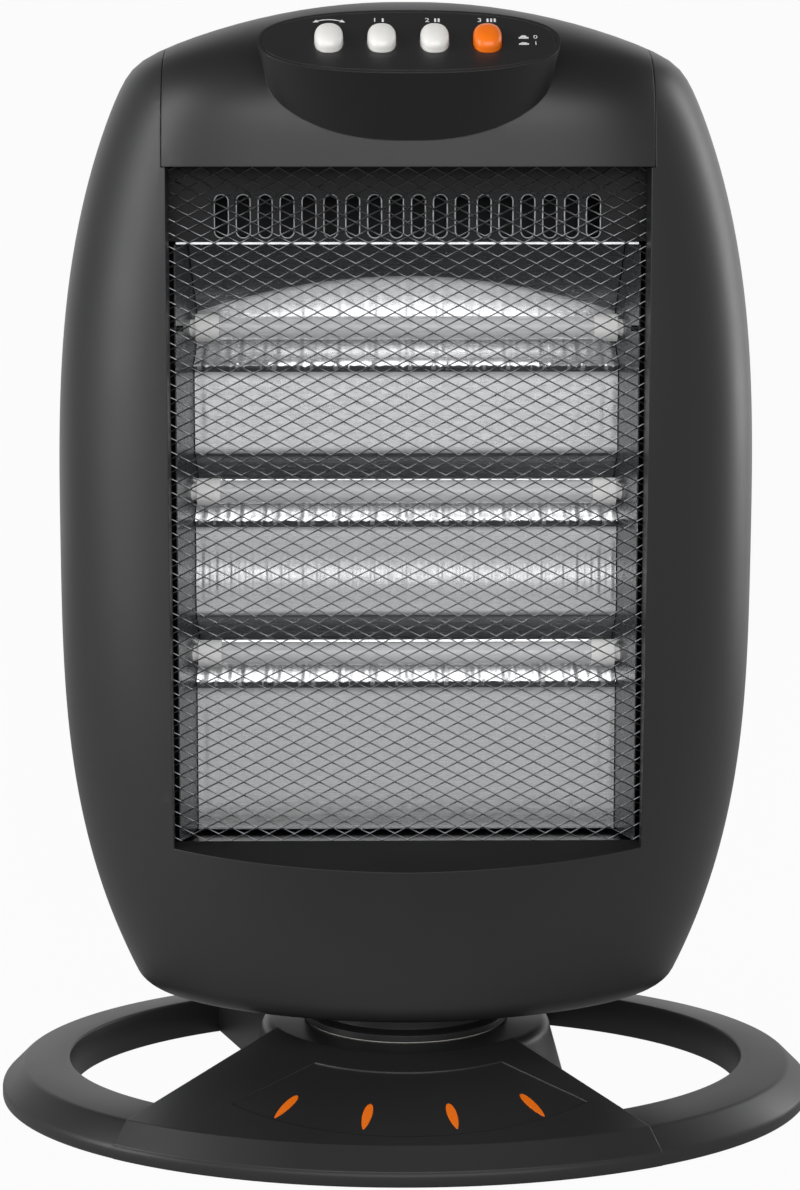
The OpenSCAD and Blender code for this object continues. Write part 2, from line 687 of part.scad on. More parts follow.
// Wings, chin and window frame in one moulding
module front_housing() {
  top_w = window_w + 4;
  color(charcoal) difference() {
    union() {
      half_shell(-1);
      intersection() {
        half_solid(-1);
        union() {
          for (s = [-1, 1])
            translate([s * (window_w / 2 + wall / 2) - wall / 2, -front_depth - 5, window_z - wall])
              cube([wall, front_depth + 5 - frame_y, window_h + wall + 30]);
          translate([0, -frame_y, window_z]) rotate([ledge_fall, 0, 0])
            translate([-window_w / 2 - 1, -front_depth, -wall])
              cube([window_w + 2, front_depth, wall]);
        }
      }
      for (s = [-1, 1], z = clamp_z) front_boss(s * clamp_x, z);
      for (p = neck_screw_at) if (p[1] < 0)
        translate([p[0], p[1], head_bottom_z + 0.5]) cylinder(r = boss_r, h = 9, $fn = 32);
    }
    // Window, and above it the bay of the top panel
    translate([-window_w / 2, -front_depth - 10, window_z])
      cube([window_w, front_depth + 10 - 20, window_h + 2]);
    translate([0, -frame_y - 1, window_z]) rotate([ledge_fall, 0, 0])
      translate([-window_w / 2, -front_depth, 0]) cube([window_w, front_depth, 30]);
    translate([-top_w / 2, -front_depth - 10, window_z + window_h])
      cube([top_w, front_depth + 20, head_top_z]);
    // Room behind the frame for the guard, the flanges and the heat shield
    translate([-guard_w / 2 - 2.4, -frame_y, guard_z0 - 2])
      cube([guard_w + 4.8, 40, guard_z1 - guard_z0 + 4]);
    for (s = [-1, 1], z = clamp_z) translate([s * clamp_x, -16, z]) rotate([-90, 0, 0])
      cylinder(r = clamp_screw_r + run, h = 30, $fn = 32);
    for (p = neck_screw_at) if (p[1] < 0)
      translate([p[0], p[1], head_bottom_z - 1]) cylinder(r = 2 + run, h = 12, $fn = 32);
    translate([0, 0, head_bottom_z - 1]) cylinder(r = spigot_bore_r, h = 6, $fn = 64);
  }
}
module front_boss(x, z) {
  reach = -surface_y(abs(x) + boss_r, z, -1) - 1;
  translate([x, -reach, z]) rotate([-90, 0, 0]) cylinder(r = boss_r, h = reach + shield_back - seat, $fn = 32);
}

module pod_outline(inset) {
  polygon(oval(pod_w / 2 - inset, pod_l / 2 - inset, 2.4, 56));
}

// Panel between the wings above the window, with the control pod that leans to the user
module top_panel() {
  top_w = window_w + 4 - 2 * seam;
  z0 = window_z + window_h + seam;
  color(charcoal) difference() {
    union() {
      intersection() {
        half_shell(-1);
        translate([-top_w / 2, -front_depth - 5, z0]) cube([top_w, front_depth + 5, head_top_z]);
      }
      intersection() {
        half_solid(-1);
        translate([-window_w / 2, -front_depth - 5, z0])
          cube([window_w, front_depth + 5 - frame_y, wall]);
      }
      on_control_face() translate([0, 0, -pod_depth]) linear_extrude(pod_depth) pod_outline(0);
    }
    on_control_face() {
      translate([0, 0, -plate_t - seat]) linear_extrude(20) pod_outline(rim_w);
      translate([0, 0, -pod_depth - 20]) linear_extrude(60) pod_outline(rim_w + 2.2);
    }
  }
}

pod_depth = 40;
rim_w = 1.8;
plate_t = 2.2;
button_x = [for (i = [0:3]) (i - 1.5) * button_pitch - 0.5];
module button_outline(grow) {
  polygon(oval(button_w / 2 + grow, button_l / 2 + grow, 2.5, 32));
}
post_x = pod_w / 2 - 11;
block_top = 12;

module control_plate() {
  color(soot) on_control_face() difference() {
    union() {
      translate([0, 0, -plate_t]) linear_extrude(plate_t) pod_outline(rim_w + 0.15);
      for (s = [-1, 1]) translate([s * post_x, 0, -block_top])
        cylinder(r = 3, h = block_top - plate_t + 0.5, $fn = 32);
    }
    for (x = button_x) translate([x, 0, -plate_t - 1]) linear_extrude(plate_t + 2) button_outline(0.35);
    for (s = [-1, 1]) translate([s * post_x, 0, -block_top - 1]) cylinder(r = 1.3 + run, h = 8, $fn = 24);
  }
}

module switch_block() {
  color(ivory) on_control_face() difference() {
    union() {
      translate([-post_x + 4.5, -10, -block_top - 22]) cube([2 * post_x - 9, 20, 22]);
      translate([-post_x - 3.2, -4, -block_top - 2 - seat]) cube([2 * post_x + 6.4, 8, 2]);
    }
    for (x = button_x) translate([x, 0, -block_top - 14]) cylinder(r = 3 + run, h = 20, $fn = 32);
    for (s = [-1, 1]) translate([s * post_x, 0, -block_top - 5]) cylinder(r = 1.5, h = 8, $fn = 24);
  }
}

module switch_screws() {
  color(steel) on_control_face() for (s = [-1, 1])
    translate([s * post_x, 0, -block_top - 2 - 2 * seat - 1.4]) screw(2.6, 1.4, 1.3, 7);
}

module push_button(index, tint) {
  color(tint) on_control_face() translate([button_x[index], 0, 0]) {
    translate([0, 0, -plate_t - seam - 0.4])
      linear_extrude(plate_t + seam + button_proud - 1.8) button_outline(0);
    hull() {
      translate([0, 0, button_proud - 2.4]) linear_extrude(0.6) button_outline(0);
      translate([0, 0, button_proud - 1]) linear_extrude(0.4) button_outline(-0.8);
      translate([0, 0, button_proud - 0.3]) linear_extrude(0.3) button_outline(-2.2);
    }
    translate([0, 0, -plate_t - seam - 1.4]) linear_extrude(1.4) button_outline(1.2);
    translate([0, 0, -block_top - 8]) cylinder(r = 3, h = block_top + 8 - plate_t - 1, $fn = 32);
  }
}

// Back moulding with louvres and a pocket for the carrying hand
pocket_w = 96;
pocket_h = 26;
pocket_z = 462;
pocket_depth = 26;
module rear_cover() {
  rows = [for (i = [0:6]) 388 + i * 9, for (i = [0:5]) 104 + i * 9];
  color(charcoal) difference() {
    union() {
      half_shell(1);
      intersection() {
        half_solid(1);
        translate([-pocket_w / 2 - wall, rear_depth - pocket_depth, pocket_z - wall])
          cube([pocket_w + 2 * wall, pocket_depth, pocket_h + 2 * wall]);
      }
      for (s = [-1, 1], z = clamp_z) rear_post(s * clamp_x, z);
      for (p = neck_screw_at) if (p[1] > 0)
        translate([p[0], p[1], head_bottom_z + 0.5]) cylinder(r = boss_r, h = 9, $fn = 32);
    }
    translate([-pocket_w / 2, rear_depth - pocket_depth + wall, pocket_z])
      cube([pocket_w, pocket_depth + 10, pocket_h]);
    for (z = rows, s = [-1, 1])
      translate([s * 42 - 34, rear_depth - 16, z]) cube([68, 30, 4]);
    for (s = [-1, 1], z = clamp_z) translate([s * clamp_x, 0, z]) rotate([-90, 0, 0]) {
      cylinder(r = clamp_screw_r + 0.3, h = rear_depth + 5, $fn = 32);
      translate([0, 0, post_seat]) cylinder(r = 3.8, h = rear_depth, $fn = 32);
    }
    for (p = neck_screw_at) if (p[1] > 0)
      translate([p[0], p[1], head_bottom_z - 1]) cylinder(r = 2 + run, h = 12, $fn = 32);
    translate([0, 0, head_bottom_z - 1]) cylinder(r = spigot_bore_r, h = 6, $fn = 64);
  }
}
post_seat = 12;
module rear_post(x, z) {
  reach = surface_y(abs(x) + boss_r, z, 1) - 1;
  translate([x, shield_back + sheet_t + seat, z]) rotate([-90, 0, 0])
    cylinder(r = boss_r, h = reach - shield_back - sheet_t - seat, $fn = 32);
}

module housing_screws() {
  color(steel) for (s = [-1, 1], z = clamp_z)
    translate([s * clamp_x, post_seat + 2.4, z]) rotate([90, 0, 0]) screw(3.4, 2.4, clamp_screw_r, 24);
}

// Expanded steel net in a plain border
module guard_mesh() {
  gx = window_w / guard_columns;
  gz = window_h / guard_rows;
  shrink = strand_w * sqrt(1 / (gx * gx) + 1 / (gz * gz));
  color(soot) translate([0, guard_front + guard_t, 0]) rotate([90, 0, 0]) linear_extrude(guard_t) difference() {
    translate([-guard_w / 2, guard_z0]) square([guard_w, guard_z1 - guard_z0]);
    intersection() {
      translate([-window_w / 2 + 1, window_z + 1]) square([window_w - 2, window_h - 2]);
      union() for (i = [0:2 * guard_columns], j = [0:2 * guard_rows]) if ((i + j) % 2 == 0)
        translate([-window_w / 2 + i * gx / 2, window_z + j * gz / 2])
          scale(1 - shrink) polygon([[gx / 2, 0], [0, gz / 2], [-gx / 2, 0], [0, -gz / 2]]);
    }
  }
}

// Black plate above the lamps that lets the heat out
module vent_plate() {
  z0 = reflector_top_z + seat;
  slot_z = (z0 + window_z + window_h) / 2 - 5.5;
  pitch = (reflector_w - 22) / vent_slots;
  color(soot) translate([0, flange_front + sheet_t, 0]) rotate([90, 0, 0]) linear_extrude(sheet_t) difference() {
    translate([-guard_w / 2 + 1, z0]) square([guard_w - 2, guard_z1 - z0]);
    for (i = [0:vent_slots - 1]) translate([(i - (vent_slots - 1) / 2) * pitch, slot_z]) {
      square([vent_slot_w, vent_slot_h - vent_slot_w], center = true);
      for (s = [-1, 1]) translate([0, s * (vent_slot_h - vent_slot_w) / 2]) circle(d = vent_slot_w, $fn = 24);
    }
  }
}

// Sheet between two points of the profile, its thickness to the left of the way
module strip(a, b, t = sheet_t) {
  v = (b - a) / norm(b - a);
  left = [-v[1], v[0]];
  polygon([a, b, b + left * t, a + left * t]);
}

// Polished sheet with a half-round channel behind each lamp
module reflector() {
  yb = reflector_back;
  yf = flange_front;
  low = window_z + 10;
  cuts = [for (k = [2, 1, 0]) each [lamp_rows[k] - channel_r, lamp_rows[k] + channel_r]];
  ends = concat([low], cuts, [reflector_top_z - 9]);
  half_w = reflector_w / 2 - 0.1;
  color(bright) rotate([90, 0, 90]) translate([0, 0, -half_w]) linear_extrude(2 * half_w) {
    for (k = [0:3]) translate([yb, ends[2 * k]]) square([sheet_t, ends[2 * k + 1] - ends[2 * k]]);
    for (z = lamp_rows) intersection() {
      translate([yb, z - channel_r - sheet_t]) square(2 * (channel_r + sheet_t));
      translate([yb, z]) difference() {
        circle(r = channel_r + sheet_t, $fn = 64);
        circle(r = channel_r, $fn = 64);
      }
    }
    strip([yb + sheet_t, reflector_top_z - 9], [yf, reflector_top_z - sheet_t]);
    strip([yf, low - 6], [yb + sheet_t, low]);
    translate([yf, guard_z0]) square([sheet_t, low - 6 - guard_z0 + sheet_t]);
  }
}

module reflector_ends() {
  w = reflector_w / 2;
  flare = 5.5;
  out = guard_w / 2 - 1;
  color(bright) for (s = [-1, 1]) mirror([s < 0 ? 1 : 0, 0, 0]) difference() {
    translate([0, 0, guard_z0 + 1]) linear_extrude(reflector_top_z - guard_z0 - 1)
      polygon([[w, shield_back - seat], [w, reflector_back], [w + flare, flange_front],
               [out, flange_front], [out, flange_front + sheet_t],
               [w + flare + sheet_t, flange_front + sheet_t],
               [w + sheet_t, reflector_back], [w + sheet_t, shield_back - seat]]);
    for (z = lamp_rows) translate([w - 3, lamp_y, z]) rotate([0, 90, 0])
      cylinder(r = holder_r + 0.1, h = 12, $fn = 32);
  }
}

// Tray that clamps the reflector and the guard against the window frame
module heat_shield() {
  w = guard_w / 2 + 1.4;
  z0 = guard_z0 - 1;
  z1 = guard_z1 + 1;
  color(steel) difference() {
    union() {
      difference() {
        translate([-w, shield_front, z0]) cube([2 * w, shield_back + sheet_t - shield_front, z1 - z0]);
        translate([-w + sheet_t, shield_front - 1, z0 + sheet_t])
          cube([2 * w - 2 * sheet_t, shield_back - shield_front + 1, z1 - z0 - 2 * sheet_t]);
      }
      for (s = [-1, 1], z = clamp_z)
        translate([s > 0 ? w - 1 : -clamp_x - 6, shield_back, z - 8]) cube([clamp_x + 7 - w, sheet_t, 16]);
    }
    for (s = [-1, 1], z = clamp_z) translate([s * clamp_x, shield_back - 2, z]) rotate([-90, 0, 0])
      cylinder(r = clamp_screw_r + 0.2, h = 5, $fn = 32);
  }
}

module thermal_cutout() {
  color(soot) translate([58, shield_back + sheet_t + seat / 2, 340]) rotate([-90, 0, 0]) {
    cylinder(r = 8, h = 7, $fn = 48);
    cylinder(r = 11, h = 1, $fn = 48);
    for (s = [-1, 1]) translate([s * 4 - 0.4, -3, 6]) cube([0.8, 6, 9]);
  }
}

cap_l = 11;
cap_r = tube_d / 2 + 1;
holder_r = 4;
glass_half = lamp_l / 2 - cap_l + 2;
module quartz_tube(z) {
  color("#e8eef2", 0.5) translate([-glass_half, lamp_y, z]) rotate([0, 90, 0]) difference() {
    cylinder(d = tube_d, h = 2 * glass_half, $fn = 48);
    translate([0, 0, -1]) cylinder(r = tube_d / 2 - 1.1, h = 2 * glass_half + 2, $fn = 48);
  }
}

module filament(z) {
  reach = glass_half + 0.2;
  discs = 8;
  color(steel) translate([-reach, lamp_y, z]) rotate([0, 90, 0]) {
    cylinder(r = 1.1, h = 2 * reach, $fn = 24);
    for (i = [1:discs]) translate([0, 0, 2 * reach * i / (discs + 1)])
      cylinder(r = tube_d / 2 - 1.3, h = 0.4, $fn = 24);
  }
}

module lamp_caps(z) {
  color(ivory) for (s = [0, 180]) translate([0, lamp_y, z]) rotate([0, 90, 0]) rotate([s, 0, 0]) {
    difference() {
      translate([0, 0, lamp_l / 2 - cap_l]) cylinder(r = cap_r, h = cap_l, $fn = 48);
      translate([0, 0, lamp_l / 2 - cap_l - 1]) cylinder(r = tube_d / 2 + 0.05, h = 3.3, $fn = 48);
    }
    translate([0, 0, lamp_l / 2 - 1]) cylinder(r = 2, h = 8, $fn = 24);
  }
}

module lamp_holders() {
  color(ivory) for (s = [-1, 1], z = lamp_rows)
    translate([s > 0 ? lamp_l / 2 + 0.2 : -lamp_l / 2 - 0.2 - 9, lamp_y, z]) rotate([0, 90, 0]) difference() {
      cylinder(r = holder_r, h = 9, $fn = 32);
      translate([0, 0, -1]) cylinder(r = 2 + run, h = 11, $fn = 24);
    }
}

module head_wiring() {
  start = [0, -pod_y + (block_top + 22.2) * sin(pod_tilt), pod_z - (block_top + 22.2) * cos(pod_tilt)];
  back = shield_back + sheet_t + 7;
  color(soot) lead([start, start + 9 * [0, sin(pod_tilt), -cos(pod_tilt)],
                    [0, -frame_y + 2, guard_z1 + 11], [0, -frame_y / 2 + 1, guard_z1 + 9],
                    [0, 0, guard_z1 + 8.5], [0, back, guard_z1 + 2], [0, back, guard_z1 - 20],
                    [0, back, 300], [0, back, 150], [0, back - 2, 118], [0, 3, 92],
                    [0, 0, 72], [0, 0, hub_z + 8.3]], 3.4);
}

base_shell();
base_cover();
base_cover_screws();
rubber_feet();
orange_inlays();
cord_gland();
terminal_block();
base_wiring();
swing_motor();
motor_screws();
tip_switch();
tip_spring();
slip_washer();
tip_plunger();
motor_pinion();
neck_collar();
toothed_sector();
retaining_nut();
neck_screws();
front_housing();
top_panel();
rear_cover();
housing_screws();
guard_mesh();
vent_plate();
reflector();
reflector_ends();
heat_shield();
thermal_cutout();
quartz_tube(lamp_rows[0]);  // quartz_tube_top
quartz_tube(lamp_rows[1]);  // quartz_tube_middle
quartz_tube(lamp_rows[2]);  // quartz_tube_bottom
filament(lamp_rows[0]);  // filament_top
filament(lamp_rows[1]);  // filament_middle
filament(lamp_rows[2]);  // filament_bottom
lamp_caps(lamp_rows[0]);  // lamp_caps_top
lamp_caps(lamp_rows[1]);  // lamp_caps_middle
lamp_caps(lamp_rows[2]);  // lamp_caps_bottom
lamp_holders();
control_plate();
switch_block();
switch_screws();
head_wiring();
push_button(0, ivory);  // button_swing
push_button(1, ivory);  // button_heat_one
push_button(2, ivory);  // button_heat_two
push_button(3, orange);  // button_power
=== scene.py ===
import math

import bpy
from mathutils import Matrix, Vector


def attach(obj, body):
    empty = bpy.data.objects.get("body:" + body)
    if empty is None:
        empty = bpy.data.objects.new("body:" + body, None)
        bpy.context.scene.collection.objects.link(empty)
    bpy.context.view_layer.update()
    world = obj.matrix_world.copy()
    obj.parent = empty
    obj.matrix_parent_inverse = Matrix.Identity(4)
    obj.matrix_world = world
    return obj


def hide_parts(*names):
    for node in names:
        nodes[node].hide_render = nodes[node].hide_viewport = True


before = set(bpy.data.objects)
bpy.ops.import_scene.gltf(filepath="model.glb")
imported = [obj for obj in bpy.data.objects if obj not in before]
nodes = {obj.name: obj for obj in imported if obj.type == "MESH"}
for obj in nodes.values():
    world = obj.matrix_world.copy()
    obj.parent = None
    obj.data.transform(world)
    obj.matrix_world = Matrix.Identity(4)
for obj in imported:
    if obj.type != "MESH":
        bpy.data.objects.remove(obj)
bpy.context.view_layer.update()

# The studio is a white sweep under a wide softbox above the camera, with a tall one at the
# left and one behind at the right. The finishes mirror a dim room that is brightest just
# below the horizon, and paper whose glow in reflections is painted darker near the heater
# than far behind it: painted shade.
def linear(hexcode):
    """sRGB hex to the linear colour that a shader socket takes."""
    parts = [int(hexcode[i:i + 2], 16) / 255 for i in (1, 3, 5)]
    return tuple(c / 12.92 if c <= 0.04045 else ((c + 0.055) / 1.055) ** 2.4 for c in parts) + (1,)


def feed(tree, node, inputs):
    """Sets a shader node's inputs; each is a value or another node's output."""
    for key, value in inputs.items():
        if isinstance(value, bpy.types.NodeSocket):
            tree.links.new(value, node.inputs[key])
        else:
            node.inputs[key].default_value = value


def add_node(tree, kind, settings=None, inputs=None):
    """Adds a shader node with its settings and inputs."""
    made = tree.nodes.new(kind)
    for key, value in (settings or {}).items():
        setattr(made, key, value)
    feed(tree, made, inputs or {})
    return made


def deselect():
    if bpy.context.object and bpy.context.object.mode != "OBJECT":
        bpy.ops.object.mode_set(mode="OBJECT")
    bpy.ops.object.select_all(action="DESELECT")


CAMERA_PLACE = (-0.024, -1.482, 0.4595)
CAMERA_TILT, CAMERA_PAN, CAMERA_LENS = math.radians(81.8), math.radians(-0.82), 93.78
deselect()
aim = Matrix.Rotation(CAMERA_PAN, 3, "Z") @ Matrix.Rotation(CAMERA_TILT, 3, "X")
bpy.ops.object.camera_add(location=CAMERA_PLACE, rotation=aim.to_euler())
camera = bpy.context.object
camera.data.lens = CAMERA_LENS
camera.data.sensor_width = 36
bpy.context.scene.camera = camera
bpy.context.scene.view_settings.view_transform = "Standard"


def softbox(name, place, target, width, height, power):
    deselect()
    bpy.ops.object.light_add(type="AREA", location=place)
    lamp = bpy.context.object
    lamp.name = name
    lamp.data.shape = "RECTANGLE"
    lamp.data.size, lamp.data.size_y, lamp.data.energy = width, height, power
    way = Vector(target) - Vector(place)
    lamp.rotation_euler = way.to_track_quat("-Z", "Y").to_euler()


softbox("softbox_front", (0.1, -2.4, 1.3), (0, 0, 0.3), 3.0, 1.7, 46)
softbox("softbox_left", (-1.9, -0.7, 0.9), (0, 0, 0.35), 0.7, 2.0, 24)
softbox("softbox_right", (1.6, 0.9, 0.6), (0, 0, 0.3), 0.5, 1.7, 11)

world = bpy.data.worlds.new("studio")
bpy.context.scene.world = world
world.use_nodes = True
sky = world.node_tree
sky.nodes.clear()
direction = add_node(sky, "ShaderNodeSeparateXYZ", None,
                     {"Vector": add_node(sky, "ShaderNodeTexCoord").outputs["Generated"]})
light = {}
for part, axis, start, end, low, high in (("ground", "Z", -0.54, -0.24, 0.04, 0.6),
                                          ("ceiling", "Z", 0.35, 0.8, 1.0, 0.2),
                                          ("horizon", "Z", -0.17, -0.03, 1.0, 0.68),
                                          ("back", "Y", 0.55, 0.95, 0.0, 0.6)):
    light[part] = add_node(sky, "ShaderNodeMapRange", {"interpolation_type": "SMOOTHSTEP"},
                           {"Value": direction.outputs[axis], "From Min": start, "From Max": end,
                            "To Min": low, "To Max": high}).outputs[0]
upper = add_node(sky, "ShaderNodeMath", {"operation": "MULTIPLY"},
                 {0: light["horizon"], 1: light["ceiling"]})
room = add_node(sky, "ShaderNodeMath", {"operation": "MULTIPLY"},
                {0: light["ground"], 1: upper.outputs[0]})
walls = add_node(sky, "ShaderNodeMath", {"operation": "ADD"}, {0: room.outputs[0], 1: light["back"]})


def camera_rays(tree):
    """Light path node, and a socket that is 1 on rays from the camera, also through quartz."""
    rays = add_node(tree, "ShaderNodeLightPath")
    seen = add_node(tree, "ShaderNodeMath", {"operation": "MAXIMUM"},
                    {0: rays.outputs["Is Camera Ray"], 1: rays.outputs["Is Transmission Ray"]})
    return rays, seen.outputs[0]


level = add_node(sky, "ShaderNodeMath", {"operation": "MAXIMUM"},
                 {0: walls.outputs[0], 1: camera_rays(sky)[1]})
glow = add_node(sky, "ShaderNodeBackground", None, {"Color": (1, 1, 1, 1), "Strength": level.outputs[0]})
add_node(sky, "ShaderNodeOutputWorld", None, {"Surface": glow.outputs[0]})

SWEEP_SIZE, SWEEP_FRONT, SWEEP_RISE = 7, -0.23, 3.5
deselect()
bpy.ops.mesh.primitive_plane_add(size=SWEEP_SIZE, location=(0, SWEEP_FRONT + SWEEP_SIZE / 2, 0))
floor = bpy.context.object
floor.name = "studio_sweep"
bpy.ops.object.transform_apply(location=True)
bpy.ops.object.mode_set(mode="EDIT")
bpy.ops.mesh.select_all(action="DESELECT")
bpy.ops.object.mode_set(mode="OBJECT")
for edge in floor.data.edges:
    edge.select = all(floor.data.vertices[i].co.y > SWEEP_FRONT + 1 for i in edge.vertices)
bpy.ops.object.mode_set(mode="EDIT")
bpy.ops.mesh.select_mode(type="EDGE")
bpy.ops.mesh.extrude_region_move(TRANSFORM_OT_translate={"value": (0, 0, SWEEP_RISE)})
bpy.ops.object.mode_set(mode="OBJECT")
paper = bpy.data.materials.new("white_studio_paper")
paper.use_nodes = True
tree = paper.node_tree
tree.nodes.clear()
rays, seen = camera_rays(tree)
direct = add_node(tree, "ShaderNodeMath", {"operation": "MULTIPLY"}, {0: seen, 1: 0.96})
spot = add_node(tree, "ShaderNodeSeparateXYZ", None,
                {"Vector": add_node(tree, "ShaderNodeNewGeometry").outputs["Position"]})
# In reflections the paper glows less near the heater: painted shade round it.
far = add_node(tree, "ShaderNodeMapRange", {"interpolation_type": "SMOOTHSTEP"},
               {"Value": spot.outputs["Y"], "From Min": 0.4, "From Max": 2.4,
                "To Min": 0.25, "To Max": 0.95})
mirrored = add_node(tree, "ShaderNodeMath", {"operation": "MULTIPLY"},
                    {0: rays.outputs["Is Glossy Ray"], 1: far.outputs[0]})
bright = add_node(tree, "ShaderNodeMath", {"operation": "MAXIMUM"},
                  {0: direct.outputs[0], 1: mirrored.outputs[0]})
matt = add_node(tree, "ShaderNodeBsdfDiffuse", None, {"Color": linear("#a8a8a8")})
white = add_node(tree, "ShaderNodeEmission", None, {"Color": (1, 1, 1, 1), "Strength": 1.0})
blend = add_node(tree, "ShaderNodeMixShader", None,
                 {0: bright.outputs[0], 1: matt.outputs[0], 2: white.outputs[0]})
add_node(tree, "ShaderNodeOutputMaterial", None, {"Surface": blend.outputs[0]})
floor.data.materials.append(paper)


# The front housing is one injection moulding in charcoal ABS: two bowed wings and the
# chin, with the window frame turned in as deep return walls and a sloping ledge. The
# ledge has a coarser grain, and a darker, less shiny colour that is painted shade.
HEAD_BOTTOM, WIDEST, CROWN = 0.054, 0.269, 0.5275
HALF_HEAD, CROWN_R, CROWN_ROLL, RIM_R = 0.1657, 0.300, 0.0575, 0.008
FRONT_DEPTH, REAR_DEPTH, CHIN_FALL = 0.090, 0.058, 0.010
WINDOW_X, WINDOW_LOW, WINDOW_TOP = 0.1095, 0.136, 0.451
RETURN_LOW, RETURN_TOP, SHOULDER_Z = 0.1324, 0.4836, 0.4605
BAY_X, GUARD_ROOM_X = 0.1115, 0.1149
FRAME_Y = 0.050
WALL = 0.0026
SPIGOT_BORE = 0.014
CROWN_CAP = 0.0002
PAST = 0.004


def half_width(z):
    """Half width of the head: cubic flanks that blend into the arc of the crown."""
    reach = 0.378 if z > WIDEST else 0.350
    flank = HALF_HEAD * (1 - (abs(z - WIDEST) / reach) ** 3)
    rise = z - CROWN + CROWN_R
    crown = CROWN_R if rise <= 0 else math.sqrt(max(CROWN_R ** 2 - rise ** 2, 1e-6))
    blend = 24
    return (flank ** -blend + crown ** -blend) ** (-1 / blend) - rim_inset(z)


def rim_inset(z):
    """How far the rounded bottom rim draws the outline in."""
    rise = max(0.0, RIM_R - (z - HEAD_BOTTOM))
    return RIM_R - math.sqrt(max(0.0, RIM_R ** 2 - rise ** 2))


def depth(z, side):
    """Depth of the front (-1) or back (1) half, which rolls over at the crown."""
    rise = max(0.0, z - CROWN + CROWN_ROLL)
    roll = math.sqrt(max(0.01, 1 - (rise / CROWN_ROLL) ** 2))
    if side > 0:
        return REAR_DEPTH * roll - rim_inset(z)
    chin = CHIN_FALL * max(0.0, (WINDOW_LOW - z) / (WINDOW_LOW - HEAD_BOTTOM))
    return FRONT_DEPTH * roll - chin - rim_inset(z)


def squareness(z, side):
    """Power of the plan's superellipse: the front grows squarer from the chin to the shoulder."""
    if side > 0:
        return 2.6
    return 1.8 + 1.2 * min(1.0, max(0.0, (z - WINDOW_LOW) / (SHOULDER_Z - WINDOW_LOW)))


def half_body(name, side, inset=0.0, past=0.0):
    """Closed front or back half of the head. A grid is wrapped round the outline, ends just
    under the crown, and has its open edges filled; past pulls the flat parting face through
    the parting plane."""
    deselect()
    bpy.ops.mesh.primitive_grid_add(x_subdivisions=56, y_subdivisions=84, size=1)
    made = bpy.context.object
    made.name = name
    low, high = HEAD_BOTTOM + inset, CROWN - CROWN_CAP - inset
    above = (CROWN - WIDEST) / (CROWN - inset - WIDEST)
    below = (WIDEST - HEAD_BOTTOM) / (WIDEST - HEAD_BOTTOM - inset)
    for v in made.data.vertices:
        turn = math.pi * (v.co.x + 0.5)
        z = low + (high - low) * (1 - math.cos(math.pi * (v.co.y + 0.5))) / 2
        outer_z = WIDEST + (z - WIDEST) * (above if z > WIDEST else below)
        power = squareness(outer_z, side)
        x = math.copysign(abs(math.cos(turn)) ** (2 / power), math.cos(turn))
        y = max(0.0, math.sin(turn)) ** (2 / power)
        v.co = ((half_width(outer_z) - inset) * x, side * (depth(outer_z, side) - inset) * y, z)
    for on_edge in (lambda c: c.z < low + 1e-6, lambda c: c.z > high - 1e-6, lambda c: abs(c.y) < 1e-6):
        pick_vertices(made, on_edge)
        bpy.ops.mesh.edge_face_add()
    if past:
        bpy.ops.mesh.extrude_region_move(TRANSFORM_OT_translate={"value": (0, -side * past, 0)})
    outward(made)
    return made


def activate(piece):
    """Makes the piece the active and only selected one."""
    deselect()
    bpy.context.view_layer.objects.active = piece
    piece.select_set(True)


def modify(piece, kind, **settings):
    """Applies a modifier with its settings."""
    activate(piece)
    modifier = piece.modifiers.new(kind.lower(), kind)
    for key, value in settings.items():
        setattr(modifier, key, value)
    bpy.ops.object.modifier_apply(modifier=modifier.name)


def pick_vertices(piece, wanted):
    """Opens the piece in edit mode with only the wanted vertices selected."""
    activate(piece)
    bpy.ops.object.mode_set(mode="EDIT")
    bpy.ops.mesh.select_mode(type="VERT")
    bpy.ops.mesh.select_all(action="DESELECT")
    bpy.ops.object.mode_set(mode="OBJECT")
    for v in piece.data.vertices:
        v.select = wanted(v.co)
    bpy.ops.object.mode_set(mode="EDIT")


def outward(piece):
    """Merges doubled vertices and turns every face outwards."""
    activate(piece)
    bpy.ops.object.mode_set(mode="EDIT")
    bpy.ops.mesh.select_all(action="SELECT")
    bpy.ops.mesh.remove_doubles(threshold=1e-6)
    bpy.ops.mesh.normals_make_consistent(inside=False)
    bpy.ops.mesh.select_all(action="DESELECT")
    bpy.ops.object.mode_set(mode="OBJECT")


def block(name, low, high, turn=None, about=(0, 0, 0)):
    """Box between two corners, turned about a point."""
    deselect()
    middle = [(a + b) / 2 for a, b in zip(low, high)]
    bpy.ops.mesh.primitive_cube_add(size=1, location=middle)
    made = bpy.context.object
    made.name = name
    made.scale = [b - a for a, b in zip(low, high)]
    bpy.ops.object.transform_apply(location=True, rotation=True, scale=True)
    if turn is not None:
        made.data.transform(Matrix.Translation(about) @ turn.to_4x4()
                            @ Matrix.Translation(-Vector(about)))
    return made


def combine(target, other, how, keep=False):
    """Cuts, joins or trims the target with another closed piece."""
    modify(target, "BOOLEAN", operation=how, solver="EXACT", object=other)
    if not keep:
        bpy.data.objects.remove(other, do_unlink=True)


def join(*pieces):
    deselect()
    for piece in pieces:
        piece.select_set(True)
    bpy.context.view_layer.objects.active = pieces[0]
    bpy.ops.object.join()
    return pieces[0]


def smooth(piece, degrees=28):
    """Smooth shading, with creases where faces meet at more than the angle."""
    activate(piece)
    bpy.ops.object.shade_smooth_by_angle(angle=math.radians(degrees))


